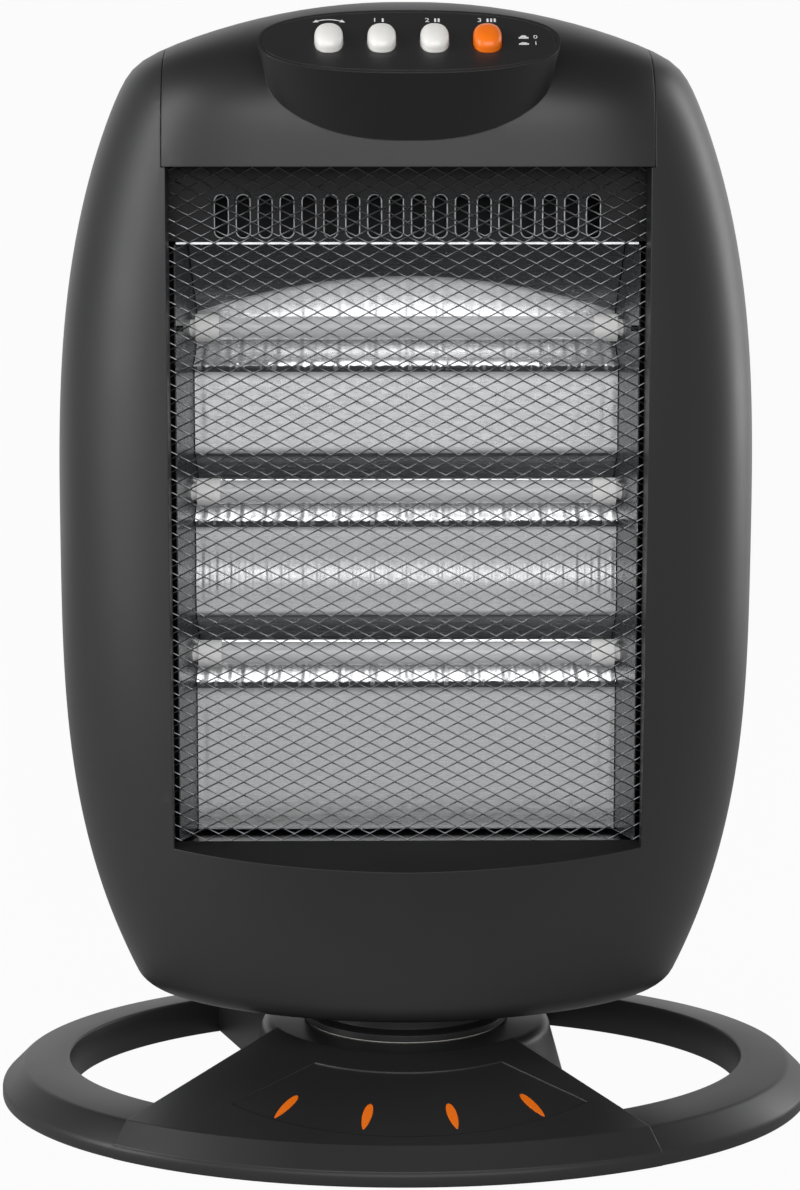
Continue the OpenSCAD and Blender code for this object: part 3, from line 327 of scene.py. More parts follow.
def rod(name, start, end, radius, sides=32):
    """Round bar between two points."""
    deselect()
    way = Vector(end) - Vector(start)
    bpy.ops.mesh.primitive_cylinder_add(vertices=sides, radius=radius, depth=way.length)
    made = bpy.context.object
    made.name = name
    made.data.transform(Matrix.Translation((Vector(start) + Vector(end)) / 2)
                        @ way.to_track_quat("Z", "Y").to_matrix().to_4x4())
    return made


ledge_turn = Matrix.Rotation(math.radians(9), 3, "X")
ledge_line = (0, -FRAME_Y, WINDOW_LOW)
front_solid = half_body("front_solid", -1)
front_housing = half_body("front_housing_moulding", -1)
combine(front_housing, half_body("front_hollow", -1, inset=WALL, past=PAST), "DIFFERENCE")
for turned_in in (
        block("left_return", (-WINDOW_X - WALL, -0.1, RETURN_LOW), (-WINDOW_X, -FRAME_Y, RETURN_TOP)),
        block("right_return", (WINDOW_X, -0.1, RETURN_LOW), (WINDOW_X + WALL, -FRAME_Y, RETURN_TOP)),
        block("ledge", (-BAY_X, -0.14, WINDOW_LOW - WALL), (BAY_X, -FRAME_Y, WINDOW_LOW),
              ledge_turn, ledge_line)):
    combine(turned_in, front_solid, "INTERSECT", keep=True)
    combine(front_housing, turned_in, "UNION")
for opening in (
        block("window_cut", (-WINDOW_X, -0.1, WINDOW_LOW), (WINDOW_X, -0.02, WINDOW_TOP + 0.002)),
        block("ledge_cut", (-WINDOW_X, -0.15, WINDOW_LOW), (WINDOW_X, 0.001 - FRAME_Y, WINDOW_LOW + 0.03),
              ledge_turn, ledge_line),
        block("top_bay", (-BAY_X, -0.1, WINDOW_TOP), (BAY_X, 0.02, 0.56)),
        block("guard_room", (-GUARD_ROOM_X, -FRAME_Y, WINDOW_LOW - 0.005),
              (GUARD_ROOM_X, -0.01, WINDOW_TOP + 0.005)),
        rod("spigot_hole", (0, 0, 0.05), (0, 0, 0.06), SPIGOT_BORE)):
    combine(front_housing, opening, "DIFFERENCE")
smooth(front_housing)


def new_material(name):
    """New material, its node tree, its shader and the place on the piece."""
    made = bpy.data.materials.new(name)
    made.use_nodes = True
    tree = made.node_tree
    place = add_node(tree, "ShaderNodeTexCoord").outputs["Object"]
    return made, tree, tree.nodes["Principled BSDF"], place


def moulded_abs(name, shade, gloss, grain_mm=0.55, depth_mm=0.02, edge_mm=0.8):
    """ABS from a spark-eroded mould: a fine even grain that scatters the highlight, a faint
    flow variation, and edges rounded by the tool."""
    made, tree, skin, place = new_material(name)
    grain = add_node(tree, "ShaderNodeTexNoise", None,
                     {"Vector": place, "Scale": 1000 / grain_mm, "Detail": 2.0, "Roughness": 0.6})
    flow = add_node(tree, "ShaderNodeTexNoise", None, {"Vector": place, "Scale": 9.0, "Detail": 3.0})
    rub = add_node(tree, "ShaderNodeMapRange", None,
                   {"Value": flow.outputs["Fac"], "From Min": 0.3, "From Max": 0.7,
                    "To Min": gloss - 0.04, "To Max": gloss + 0.05})
    pale = tuple(c * 1.12 for c in linear(shade)[:3]) + (1,)
    tint = add_node(tree, "ShaderNodeMix", {"data_type": "RGBA"},
                    {"Factor": flow.outputs["Fac"], "A": linear(shade), "B": pale})
    edge = add_node(tree, "ShaderNodeBevel", {"samples": 4}, {"Radius": edge_mm / 1000})
    relief = add_node(tree, "ShaderNodeBump", None,
                      {"Height": grain.outputs["Fac"], "Distance": depth_mm / 1000,
                       "Strength": 0.5, "Normal": edge.outputs[0]})
    feed(tree, skin, {"Base Color": tint.outputs["Result"], "Roughness": rub.outputs["Result"],
                      "Normal": relief.outputs["Normal"], "IOR": 1.5})
    return made


def dress(piece, finish):
    piece.data.materials.clear()
    piece.data.materials.append(finish)


def dress_nodes(finish, *names):
    for name in names:
        for place in nodes[name].material_slots:
            place.material = finish


charcoal_abs = moulded_abs("charcoal_abs", "#212122", 0.40)
dress(front_housing, charcoal_abs)
# The ledge's darker colour and low shine paint the shade under the window.
ledge_shade_abs = moulded_abs("coarse_grain_painted_shade_abs", "#161617", 0.7, 0.8, 0.05, 0.4)
ledge_shade_abs.node_tree.nodes["Principled BSDF"].inputs["Specular IOR Level"].default_value = 0.12
front_housing.data.materials.append(ledge_shade_abs)
for face in front_housing.data.polygons:
    on_ledge = 0.12 < face.center.z < WINDOW_LOW + 0.001 and abs(face.center.x) < BAY_X + 0.0001
    if on_ledge and face.normal.z > 0.95:
        face.material_index = 1
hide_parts("front_housing")
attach(front_housing, "head")


# The top panel closes the housing between the wings, in the same charcoal ABS. The
# control pod stands out of it: an oval that leans 35 degrees to the user, with a thin
# raised rim round the sunk control plate.
POD_TURN = Matrix.Rotation(math.radians(35), 3, "X")
POD_FACE = Vector((0, -0.090, 0.5065))
POD_X, POD_Y, POD_POWER, SKIRT_TAPER = 0.067, 0.025, 2.4, 0.9
POD_RIM, SEAT_RIM = 0.004, 0.0018
CROWN_LIMIT = CROWN - 0.0004


def superoval(name, half_x, half_y, power, low, high, count=96):
    """Upright prism with a superellipse outline."""
    deselect()
    bpy.ops.mesh.primitive_cylinder_add(vertices=count, radius=1, depth=high - low, location=(0, 0, 0))
    made = bpy.context.object
    made.name = name
    for v in made.data.vertices:
        turn = math.atan2(v.co.y, v.co.x)
        cosine, sine = math.cos(turn), math.sin(turn)
        v.co.x = half_x * math.copysign(abs(cosine) ** (2 / power), cosine)
        v.co.y = half_y * math.copysign(abs(sine) ** (2 / power), sine)
        v.co.z += (low + high) / 2
    return made


def on_pod(piece):
    """Moves a piece that was made flat onto the leaning face of the pod."""
    piece.data.transform(Matrix.Translation(POD_FACE) @ POD_TURN.to_4x4())
    return piece


top_panel = half_body("top_panel_moulding", -1)
combine(top_panel, half_body("panel_hollow", -1, inset=WALL, past=PAST), "DIFFERENCE")
combine(top_panel, block("panel_trim", (-0.1112, -0.12, 0.4513), (0.1112, 0, 0.56)), "INTERSECT")
hood = block("hood", (-WINDOW_X, -0.1, 0.4513), (WINDOW_X, -FRAME_Y, 0.4513 + WALL))
combine(hood, front_solid, "INTERSECT")
combine(top_panel, hood, "UNION")
pod = superoval("pod", POD_X, POD_Y, POD_POWER, -0.040, 0)
for v in pod.data.vertices:
    if v.co.z < -0.02:
        v.co.x *= SKIRT_TAPER
combine(top_panel, on_pod(pod), "UNION")
for rim, low in ((POD_RIM, -0.06), (SEAT_RIM, -0.0024)):
    hollow = superoval("pod_hollow", POD_X - rim, POD_Y - rim, POD_POWER, low, 0.04)
    combine(top_panel, on_pod(hollow), "DIFFERENCE")


def trim_crown(piece):
    """Keeps the crown within the height of the CAD solid."""
    for v in piece.data.vertices:
        v.co.z = min(v.co.z, CROWN_LIMIT)


trim_crown(top_panel)
smooth(top_panel)
dress(top_panel, charcoal_abs)
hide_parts("top_panel")
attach(top_panel, "head")


# The rear cover is a plain bowed moulding in the same ABS, with two fields of louvres
# that let the air through behind the heat shield, and a pocket for the carrying hand.
rear_solid = half_body("rear_solid", 1)
rear_cover = half_body("rear_cover_moulding", 1)
combine(rear_cover, half_body("rear_hollow", 1, inset=WALL, past=PAST), "DIFFERENCE")
pocket = block("pocket", (-0.0506, 0.032, 0.4594), (0.0506, 0.058, 0.4932))
combine(pocket, rear_solid, "INTERSECT")
combine(rear_cover, pocket, "UNION")
combine(rear_cover, block("pocket_cut", (-0.048, 0.0346, 0.462), (0.048, 0.09, 0.488)), "DIFFERENCE")
louvre_rows = [0.388 + i * 0.009 for i in range(7)] + [0.104 + i * 0.009 for i in range(6)]
louvres = join(*[block("louvre", (x - 0.034, 0.042, z), (x + 0.034, 0.072, z + 0.004))
                 for x in (-0.042, 0.042) for z in louvre_rows])
combine(rear_cover, louvres, "DIFFERENCE")
for x in (-0.136, 0.136):
    for z in (0.165, 0.405):
        combine(rear_cover, rod("screw_well", (x, 0.012, z), (x, 0.07, z), 0.0038), "DIFFERENCE")
combine(rear_cover, rod("rear_spigot_hole", (0, 0, 0.05), (0, 0, 0.06), SPIGOT_BORE), "DIFFERENCE")
trim_crown(rear_cover)
smooth(rear_cover)
dress(rear_cover, charcoal_abs)
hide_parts("rear_cover")
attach(rear_cover, "head")


# The base is one large moulding in charcoal ABS: an oval ring with a low lip and a
# sloping rim, a bell-shaped hub in the middle, and two ramps that fan out from the hub
# to the front and the back of the ring. A shallow panel with four slots for the orange
# inlays is sunk into the front ramp.
BASE_X, BASE_Y = 0.198, 0.153
RING_W, RING_TOP, SLOPE = 0.033, 0.0195, 0.010
RAMP_TOP, RAMP_FOOT = 0.037, 0.017
HUB_R, HUB_FOOT_R, HUB_SHOULDER = 0.066, 0.0795, 0.005
BASE_LIFT = 0.0008


def ring_point(inset, degrees):
    """Point on the base's oval, drawn in by an inset, at an angle from straight back."""
    return ((BASE_X - inset) * math.sin(math.radians(degrees)),
            (BASE_Y - inset) * math.cos(math.radians(degrees)))


def oval_ring(name, profile, soften=0.0):
    """Ring swept round the oval; each profile point is an inset and a height."""
    deselect()
    bpy.ops.mesh.primitive_torus_add(major_segments=180, minor_segments=len(profile),
                                     major_radius=1, minor_radius=0.1)
    made = bpy.context.object
    made.name = name
    for i, v in enumerate(made.data.vertices):
        inset, z = profile[i % len(profile)]
        v.co = (*ring_point(inset, 2 * (i // len(profile))), z)
    outward(made)
    if soften:
        modify(made, "BEVEL", width=soften, segments=3, angle_limit=math.radians(20))
    return made


def bell(name, top_r, top_z, foot_r, foot_z):
    """Solid of revolution: a flat top, a rounded shoulder and a conical flank."""
    deselect()
    bpy.ops.mesh.primitive_circle_add(vertices=96, radius=foot_r, location=(0, 0, foot_z),
                                      fill_type="NGON")
    made = bpy.context.object
    made.name = name
    bpy.ops.object.transform_apply(location=True)
    bpy.ops.object.mode_set(mode="EDIT")
    bpy.ops.mesh.select_all(action="SELECT")
    radius, z = foot_r, foot_z
    for turn in range(90, -1, -15):
        new_r = top_r + HUB_SHOULDER * math.sin(math.radians(turn))
        new_z = top_z - HUB_SHOULDER * (1 - math.cos(math.radians(turn)))
        bpy.ops.mesh.extrude_region_move(TRANSFORM_OT_translate={"value": (0, 0, new_z - z)})
        bpy.ops.transform.resize(value=(new_r / radius, new_r / radius, 1),
                                 center_override=(0, 0, new_z))
        radius, z = new_r, new_z
    bpy.ops.object.mode_set(mode="OBJECT")
    outward(made)
    return made


def ramp(name, side, inset, lift, floor_z):
    """Fan-shaped ramp from the hub down to the lip, filled down to a level. Its middle is
    turned a little at the hub and at the ring, and its width there is set by half angles."""
    rows, lip_z = 3, 0.0074
    hub_turn, rim_turn = -10.4, -4
    hub_half, rim_half = (60.5, 39.5) if side < 0 else (70, 29.5)
    deselect()
    bpy.ops.mesh.primitive_grid_add(x_subdivisions=36, y_subdivisions=rows, size=1)
    made = bpy.context.object
    made.name = name
    for v in made.data.vertices:
        across = 2 * v.co.x * (1 - inset / 0.070)
        row = round((v.co.y + 0.5) * rows)
        if row == 0:
            turn = math.radians(hub_half * across + hub_turn)
            x, y, z = HUB_R * math.sin(turn), HUB_R * math.cos(turn), RAMP_TOP
        else:
            edge = SLOPE - 0.0008 + inset if row == 1 else inset + 0.0004
            x, y = ring_point(edge, rim_half * across + rim_turn)
            z = (RAMP_FOOT, lip_z, floor_z - lift)[row - 1]
        v.co = (x, side * y, z + lift)
    bpy.ops.object.mode_set(mode="EDIT")
    bpy.ops.mesh.select_all(action="SELECT")
    bpy.ops.mesh.extrude_region_move(TRANSFORM_OT_translate={"value": (0, 0, -0.001)})
    bpy.ops.transform.resize(value=(1, 1, 0), center_override=(0, 0, floor_z))
    bpy.ops.object.mode_set(mode="OBJECT")
    outward(made)
    return made


def base_body(name, inset, floor_z):
    """Ring, hub and ramps as one solid. Small steps keep their undersides from coinciding."""
    body = oval_ring(name, [(inset, floor_z), (inset, 0.007 - inset * 0.4),
                            (SLOPE + inset * 0.4, 0.017 - inset), (RING_W - inset, RING_TOP - inset),
                            (RING_W + 0.0015 - inset, floor_z)], 0 if inset else 0.0014)
    drop = 0.003 if inset else 0
    combine(body, bell("hub", HUB_R - inset, RAMP_TOP - drop, HUB_FOOT_R - inset, floor_z + 0.0001),
            "UNION")
    for side, step in ((-1, 0.0002), (1, 0.0003)):
        combine(body, ramp("ramp", side, inset, -inset if inset else 0.0006, floor_z + step), "UNION")
    return body


def extruded(name, outline, low, rise):
    """Closed piece with a flat outline, from a level upwards."""
    deselect()
    bpy.ops.mesh.primitive_circle_add(vertices=len(outline), radius=1, fill_type="NGON", location=(0, 0, 0))
    made = bpy.context.object
    made.name = name
    for v, (x, y) in zip(made.data.vertices, outline):
        v.co = (x, y, low)
    bpy.ops.object.mode_set(mode="EDIT")
    bpy.ops.mesh.select_all(action="SELECT")
    bpy.ops.mesh.extrude_region_move(TRANSFORM_OT_translate={"value": (0, 0, rise)})
    bpy.ops.object.mode_set(mode="OBJECT")
    outward(made)
    return made


base_moulding = base_body("base_moulding", 0.0, BASE_LIFT)
combine(base_moulding, base_body("base_hollow", WALL, -0.001), "DIFFERENCE")
panel = rod("panel_outer", (0, -0.0265, 0.01), (0, -0.0265, 0.06), 0.110, 128)
combine(panel, rod("panel_inner", (0, -0.0095, 0), (0, -0.0095, 0.07), 0.074, 128), "DIFFERENCE")
wedge = extruded("wedge", [(0, -0.0343), (-0.1, -0.1132), (-0.1, -0.17), (0.1, -0.17), (0.1, -0.1132)],
                 0.005, 0.06)
combine(panel, wedge, "INTERSECT")
sunk = ramp("sunk", -1, 0.0, 0.0, -0.02)
combine(panel, sunk, "DIFFERENCE")
combine(base_moulding, panel, "DIFFERENCE")
combine(base_moulding, rod("hub_bore", (0, 0, 0.03), (0, 0, 0.04), 0.01906, 64), "DIFFERENCE")


def petal(name, length, width, thick):
    """Flat drop with a round end towards the hub and a point towards the rim."""
    outline = []
    for i in range(48):
        along = i / 24 if i <= 24 else (48 - i) / 24
        half = width * 1.02 * along ** 0.5 * (1 - along) ** 0.75
        outline.append((half if i <= 24 else -half, length * (0.5 - along)))
    return extruded(name, outline, 0, thick)


def on_ramp(piece, degrees, radius, lift):
    """Lays a flat piece on the front ramp, at an angle from straight ahead."""
    x, y = radius * math.sin(math.radians(degrees)), -radius * math.cos(math.radians(degrees))
    place, normal = base_moulding.ray_cast(Vector((x, y, 0.1)), Vector((0, 0, -1)))[1:3]
    upright = Vector((0, 0, 1)).rotation_difference(normal).to_matrix().to_4x4()
    spin = Matrix.Rotation(math.radians(degrees), 4, "Z")
    piece.data.transform(Matrix.Translation(place) @ upright @ spin @ Matrix.Translation((0, 0, lift)))
    return piece


INLAY_ANGLES, INLAY_R = (-28.05, -9.35, 9.35, 28.05), 0.1205
inlay_slots = [on_ramp(petal("slot", 0.0221, 0.0053, 0.004), a, INLAY_R, -0.0022) for a in INLAY_ANGLES]
inlays = [on_ramp(petal("inlay", 0.022, 0.0052, 0.0022), a, INLAY_R, -0.0021) for a in INLAY_ANGLES]
for inlay_slot in inlay_slots:
    combine(base_moulding, inlay_slot, "DIFFERENCE")
smooth(base_moulding)
dress(base_moulding, charcoal_abs)
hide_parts("base_shell")
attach(base_moulding, "base")

orange_inlays = join(*inlays)
orange_inlays.name = "orange_inlay_drops"
smooth(orange_inlays)


def glossy_moulding(name, shade, gloss, edge_mm):
    """ABS from a polished mould: an even bright colour under a clear, soft-edged gloss."""
    made, tree, skin, place = new_material(name)
    flow = add_node(tree, "ShaderNodeTexNoise", None, {"Vector": place, "Scale": 60.0, "Detail": 2.0})
    rub = add_node(tree, "ShaderNodeMapRange", None,
                   {"Value": flow.outputs["Fac"], "To Min": gloss - 0.05, "To Max": gloss + 0.05})
    deep = tuple(c * 0.93 for c in linear(shade)[:3]) + (1,)
    tint = add_node(tree, "ShaderNodeMix", {"data_type": "RGBA"},
                    {"Factor": flow.outputs["Fac"], "A": deep, "B": linear(shade)})
    edge = add_node(tree, "ShaderNodeBevel", {"samples": 4}, {"Radius": edge_mm / 1000})
    feed(tree, skin, {"Base Color": tint.outputs["Result"], "Roughness": rub.outputs["Result"],
                      "Normal": edge.outputs[0], "IOR": 1.5})
    return made


orange_abs = glossy_moulding("orange_abs", "#ff7a14", 0.3, 0.6)
dress(orange_inlays, orange_abs)
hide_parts("orange_inlays")
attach(orange_inlays, "base")


# The guard is a sheet of expanded steel net, plated in black nickel. Its diamonds are
# about 12 mm wide and 6 mm high, and it bows a little between the walls of the frame.
NET_HALF_X, NET_HALF_Z, NET_MIDDLE = 0.1126, 0.1606, (WINDOW_LOW + WINDOW_TOP) / 2
NET_Y, NET_BOW, NET_RIPPLE = -0.0493, 0.0022, 0.0003
deselect()
bpy.ops.mesh.primitive_grid_add(x_subdivisions=19, y_subdivisions=51, size=1)
guard = bpy.context.object
guard.name = "expanded_net"
guard.data.transform(Matrix.Diagonal((2 * NET_HALF_X, 2 * NET_HALF_Z, 1, 1)))
bpy.ops.object.mode_set(mode="EDIT")
bpy.ops.mesh.select_all(action="SELECT")
bpy.ops.mesh.poke()
bpy.ops.mesh.select_all(action="DESELECT")
bpy.ops.object.mode_set(mode="OBJECT")
for edge in guard.data.edges:
    a, b = (guard.data.vertices[i].co for i in edge.vertices)
    inside = abs(a.x + b.x) / 2 < NET_HALF_X - 0.0001 and abs(a.y + b.y) / 2 < NET_HALF_Z - 0.0001
    edge.select = inside and (abs(a.x - b.x) < 1e-5 or abs(a.y - b.y) < 1e-5)
bpy.ops.object.mode_set(mode="EDIT")
bpy.ops.mesh.select_mode(type="EDGE")
bpy.ops.mesh.dissolve_edges(use_verts=False)
bpy.ops.object.mode_set(mode="OBJECT")


def net_y(x, z):
    """Depth of the bowed and slightly wavy net, where z counts from its middle."""
    bow = (1 - (x / NET_HALF_X) ** 2) * (1 - (z / NET_HALF_Z) ** 2)
    return NET_Y - (NET_BOW + NET_RIPPLE * math.sin(31 * x + 17 * z)) * bow


for v in guard.data.vertices:
    v.co = (v.co.x, net_y(v.co.x, v.co.y), NET_MIDDLE + v.co.y)
modify(guard, "WIREFRAME", thickness=0.00095, use_even_offset=False, use_boundary=True)
# The strands are flat: 0.55 of their gauge deep at the foot of the net and 0.31 at its top.
for v in guard.data.vertices:
    height = v.co.z - NET_MIDDLE
    middle = net_y(v.co.x, height)
    v.co.y = middle + (0.43 - 0.75 * height) * (v.co.y - middle)
outward(guard)

net_finish, tree, skin, place = new_material("black_nickel_plate")
tarnish = add_node(tree, "ShaderNodeTexNoise", None, {"Vector": place, "Scale": 240.0, "Detail": 2.0})
rub = add_node(tree, "ShaderNodeMapRange", None,
               {"Value": tarnish.outputs["Fac"], "To Min": 0.18, "To Max": 0.4})
feed(tree, skin, {"Base Color": linear("#7c7d80"), "Metallic": 1.0, "Roughness": rub.outputs["Result"]})
dress(guard, net_finish)
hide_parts("guard_mesh")
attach(guard, "head")


# The vent plate is black stove-enamelled sheet; the heat shield behind it gets the same
# black as painted shade. Each slot of the vent plate is flanged outwards, and its edge has
# a light steel colour that is a painted highlight, the glint of the edge.
black_enamel_and_shade, tree, skin, place = new_material("black_enamel_and_painted_shade")
orange_peel = add_node(tree, "ShaderNodeTexNoise", None, {"Vector": place, "Scale": 700.0, "Detail": 2.0})
rub = add_node(tree, "ShaderNodeMapRange", None,
               {"Value": orange_peel.outputs["Fac"], "To Min": 0.22, "To Max": 0.42})
relief = add_node(tree, "ShaderNodeBump", None,
                  {"Height": orange_peel.outputs["Fac"], "Distance": 0.00003, "Strength": 0.4})
feed(tree, skin, {"Base Color": linear("#0c0c0d"), "Specular IOR Level": 0.2,
                  "Roughness": rub.outputs["Result"], "Normal": relief.outputs["Normal"]})
# On the heat shield the black is painted shade behind the vent slots.
dress_nodes(black_enamel_and_shade, "vent_plate", "heat_shield")

SLOTS, SLOT_PITCH, SLOT_Z, SLOT_STRAIGHT = 18, 0.181 / 18, 0.4286, 0.0134
VENT_FACE_Y = -0.0487
rims = []
for i in range(SLOTS):
    deselect()
    bpy.ops.mesh.primitive_torus_add(major_segments=28, minor_segments=8, major_radius=0.00325,
                                     minor_radius=0.00042, rotation=(math.radians(90), 0, 0))
    rim = bpy.context.object
    bpy.ops.object.transform_apply(rotation=True)
    for v in rim.data.vertices:
        if abs(v.co.z) > 1e-6:
            v.co.z += math.copysign(SLOT_STRAIGHT / 2, v.co.z)
    rim.data.transform(Matrix.Translation(((i - (SLOTS - 1) / 2) * SLOT_PITCH, VENT_FACE_Y, SLOT_Z)))
    rims.append(rim)
slot_rims = join(*rims)
slot_rims.name = "vent_slot_rims"
smooth(slot_rims, 60)
# Light steel on the slot rims is a painted highlight: the glint on the slot edges.
glint_painted_edge, tree, skin, place = new_material("slot_edge_painted_glint")
rim_mottle = add_node(tree, "ShaderNodeTexNoise", None, {"Vector": place, "Scale": 320.0, "Detail": 3.0})
rub = add_node(tree, "ShaderNodeMapRange", None,
               {"Value": rim_mottle.outputs["Fac"], "To Min": 0.3, "To Max": 0.5})
tint = add_node(tree, "ShaderNodeMix", {"data_type": "RGBA"},
                {"Factor": rim_mottle.outputs["Fac"], "A": linear("#77797c"), "B": linear("#b4b6b9")})
feed(tree, skin, {"Base Color": tint.outputs["Result"], "Roughness": rub.outputs["Result"],
                  "Metallic": 1.0})
dress(slot_rims, glint_painted_edge)
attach(slot_rims, "head")


# The reflector is bright-rolled aluminium sheet, pressed with a bead and a trough behind
# each lamp, the top one arched as a hood, and it flares to the front. Its two end plates,
# and the faces that look down on a lamp, are a darker grey: painted shade.
SHEET_Y, SHEET_FRONT, TROUGH, BEAD = -0.0185, -0.0484, 0.0066, 0.0012
TROUGH_Y = SHEET_Y + TROUGH
HOOD_ARCH, HOOD_FALL, HOOD_Z, HOOD_LEAN = 0.3998, 0.0166, 0.4155, 0.45
LAMP_Z = {"top": 0.376, "middle": 0.2985, "bottom": 0.221}
WAVE_Z, WAVE_REACH, WAVE_PITCH = 0.2591, 0.0075, 0.0034
SHEET_HALF_X, FLARE, GAUGE = 0.0985, 0.008, 0.0006


def level_sheet(low, high, pucker, x, rows):
    """Flat stretch between two troughs; the one below the middle lamp has a pressed wave."""
    points = []
    for k in range(1, rows + 1):
        z = low + (high - low) * k / rows
        off = (z - WAVE_Z) / WAVE_REACH
        wave = 0.0008 * off + 0.00021 * math.sin(2 * math.pi * x / WAVE_PITCH)
        wave *= math.exp(-0.64 * off * off)
        points.append((SHEET_Y + 0.4 * pucker * math.sin(math.pi * k / rows) + wave, z))
    return points


def sheet_section(x):
    """Section of the reflector from its bottom lip to the front of its hood: for each of the
    two lower lamps a flat, a bead, a sloped trough and its upper side, then the hood. Pressing
    leaves the beads and flats puckered."""
    pucker = 0.00022 * math.sin(2 * math.pi * x / 0.0058) + 0.00012 * math.sin(2 * math.pi * x / 0.0091)
    arch = HOOD_ARCH - HOOD_FALL * (x / 0.1) ** 2
    bead_y = SHEET_Y - BEAD + pucker
    deep = TROUGH_Y - bead_y
    section = [(SHEET_Y - BEAD, 0.1356), (SHEET_Y - 0.0008, 0.1352), (SHEET_Y, 0.1358), (SHEET_Y, 0.1366)]
    for lamp_z in (LAMP_Z["bottom"], LAMP_Z["middle"]):
        crest = lamp_z + 0.005
        section += level_sheet(section[-1][1], lamp_z - 0.0172, pucker, x, 18)
        section += [(SHEET_Y - 0.0004, lamp_z - 0.0161), (bead_y, lamp_z - 0.0140 + 2 * pucker)]
        section += [(bead_y + deep * (1 - 0.9 * u - 0.1 * u * u) + pucker * math.sin(math.pi * u),
                     crest - 0.0188 * u) for u in [1 - k / 12 for k in range(13)]]
        section += [(SHEET_Y + TROUGH * (1 - k / 6), crest + 0.013 * k / 6) for k in range(1, 7)]
    section += level_sheet(section[-1][1], 0.3550, pucker, x, 12)
    section += [(SHEET_Y - 0.0004, 0.3560), (bead_y, 0.3580 + 2 * pucker)]
    section += [(bead_y + deep * (1 - u ** 3) + pucker * math.sin(math.pi * u)
                 - 0.0009 * max(0.0, 1 - u / 0.4) ** 2, arch - (arch - 0.3584) * u)
                for u in [1 - k / 16 for k in range(17)]]
    lean = HOOD_LEAN * (HOOD_Z - arch)
    back = TROUGH_Y - 0.0009
    section += [(back - lean * k / 8, arch + (HOOD_Z - arch) * k / 8) for k in range(1, 9)]
    section += [(back - lean - (back - lean - SHEET_FRONT) * k / 6, HOOD_Z + 0.0003) for k in range(1, 7)]
    return section + [(SHEET_FRONT, HOOD_Z + 0.0013)]


def half_sheet(y):
    """Half width of the sheet, which flares from the troughs to its front."""
    return SHEET_HALF_X + FLARE * (TROUGH_Y - y) / (TROUGH_Y - SHEET_FRONT)


rows = len(sheet_section(0)) - 1
deselect()
bpy.ops.mesh.primitive_grid_add(x_subdivisions=290, y_subdivisions=rows, size=1)
reflector = bpy.context.object
reflector.name = "reflector_sheet"
for v in reflector.data.vertices:
    y, z = sheet_section(0.2 * v.co.x)[round((v.co.y + 0.5) * rows)]
    v.co = (2 * v.co.x * half_sheet(y), y, z)
modify(reflector, "SOLIDIFY", thickness=GAUGE, offset=-1.0)
outward(reflector)
smooth(reflector, 32)

bright_aluminium, tree, skin, place = new_material("bright_rolled_aluminium")
stretched = add_node(tree, "ShaderNodeMapping", None, {"Vector": place, "Scale": (18, 300, 300)})
streak = add_node(tree, "ShaderNodeTexNoise", None,
                  {"Vector": stretched.outputs[0], "Scale": 4.0, "Detail": 3.0})
ripple = add_node(tree, "ShaderNodeTexNoise", None, {"Vector": place, "Scale": 160.0, "Detail": 1.0})
rub = add_node(tree, "ShaderNodeMapRange", None,
               {"Value": streak.outputs["Fac"], "To Min": 0.2, "To Max": 0.36})
relief = add_node(tree, "ShaderNodeBump", None,
                  {"Height": ripple.outputs["Fac"], "Distance": 0.0004, "Strength": 0.35})
feed(tree, skin, {"Base Color": linear("#e6e7e8"), "Metallic": 0.9,
                  "Roughness": rub.outputs["Result"], "Normal": relief.outputs["Normal"]})
dress(reflector, bright_aluminium)
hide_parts("reflector")
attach(reflector, "head")

# The section's last 7 points run forward as the hood's top, over the end plates.
edge_rows = rows - 7
ends = []
for side in (-1, 1):
    deselect()
    bpy.ops.mesh.primitive_grid_add(x_subdivisions=6, y_subdivisions=edge_rows, size=1)
    end = bpy.context.object
    end.name = "reflector_end"
    for v in end.data.vertices:
        y, z = sheet_section(0.1)[round((v.co.y + 0.5) * edge_rows)]
        y += (SHEET_FRONT - y) * (v.co.x + 0.5)
        v.co = (side * (half_sheet(y) + 0.0007), y, z)
    modify(end, "SOLIDIFY", thickness=GAUGE, offset=0.0)
    ends.append(end)
reflector_ends = join(*ends)
reflector_ends.name = "reflector_end_plates"
outward(reflector_ends)
smooth(reflector_ends, 30)
# A darker grey copy of the aluminium paints shade on the end plates and the down-facing faces.
painted_shade_aluminium = bright_aluminium.copy()
painted_shade_aluminium.name = "aluminium_painted_shade"
painted_shade_skin = painted_shade_aluminium.node_tree.nodes["Principled BSDF"]
painted_shade_skin.inputs["Base Color"].default_value = linear("#858688")
dress(reflector_ends, painted_shade_aluminium)
reflector.data.materials.append(painted_shade_aluminium)
# Faces that look down and forward get the painted shade.
for face in reflector.data.polygons:
    if face.normal.z < -0.25 and face.normal.y < 0:
        face.material_index = 1
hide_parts("reflector_ends")
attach(reflector_ends, "head")

side_pins = join(*[rod("side_pin", (side * 0.1092, -0.0455, 0.377), (side * 0.1035, -0.0455, 0.377),
                       0.0014, 20) for side in (-1, 1)])
side_pins.name = "reflector_side_pins"
smooth(side_pins)
dress(side_pins, black_enamel_and_shade)
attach(side_pins, "head")


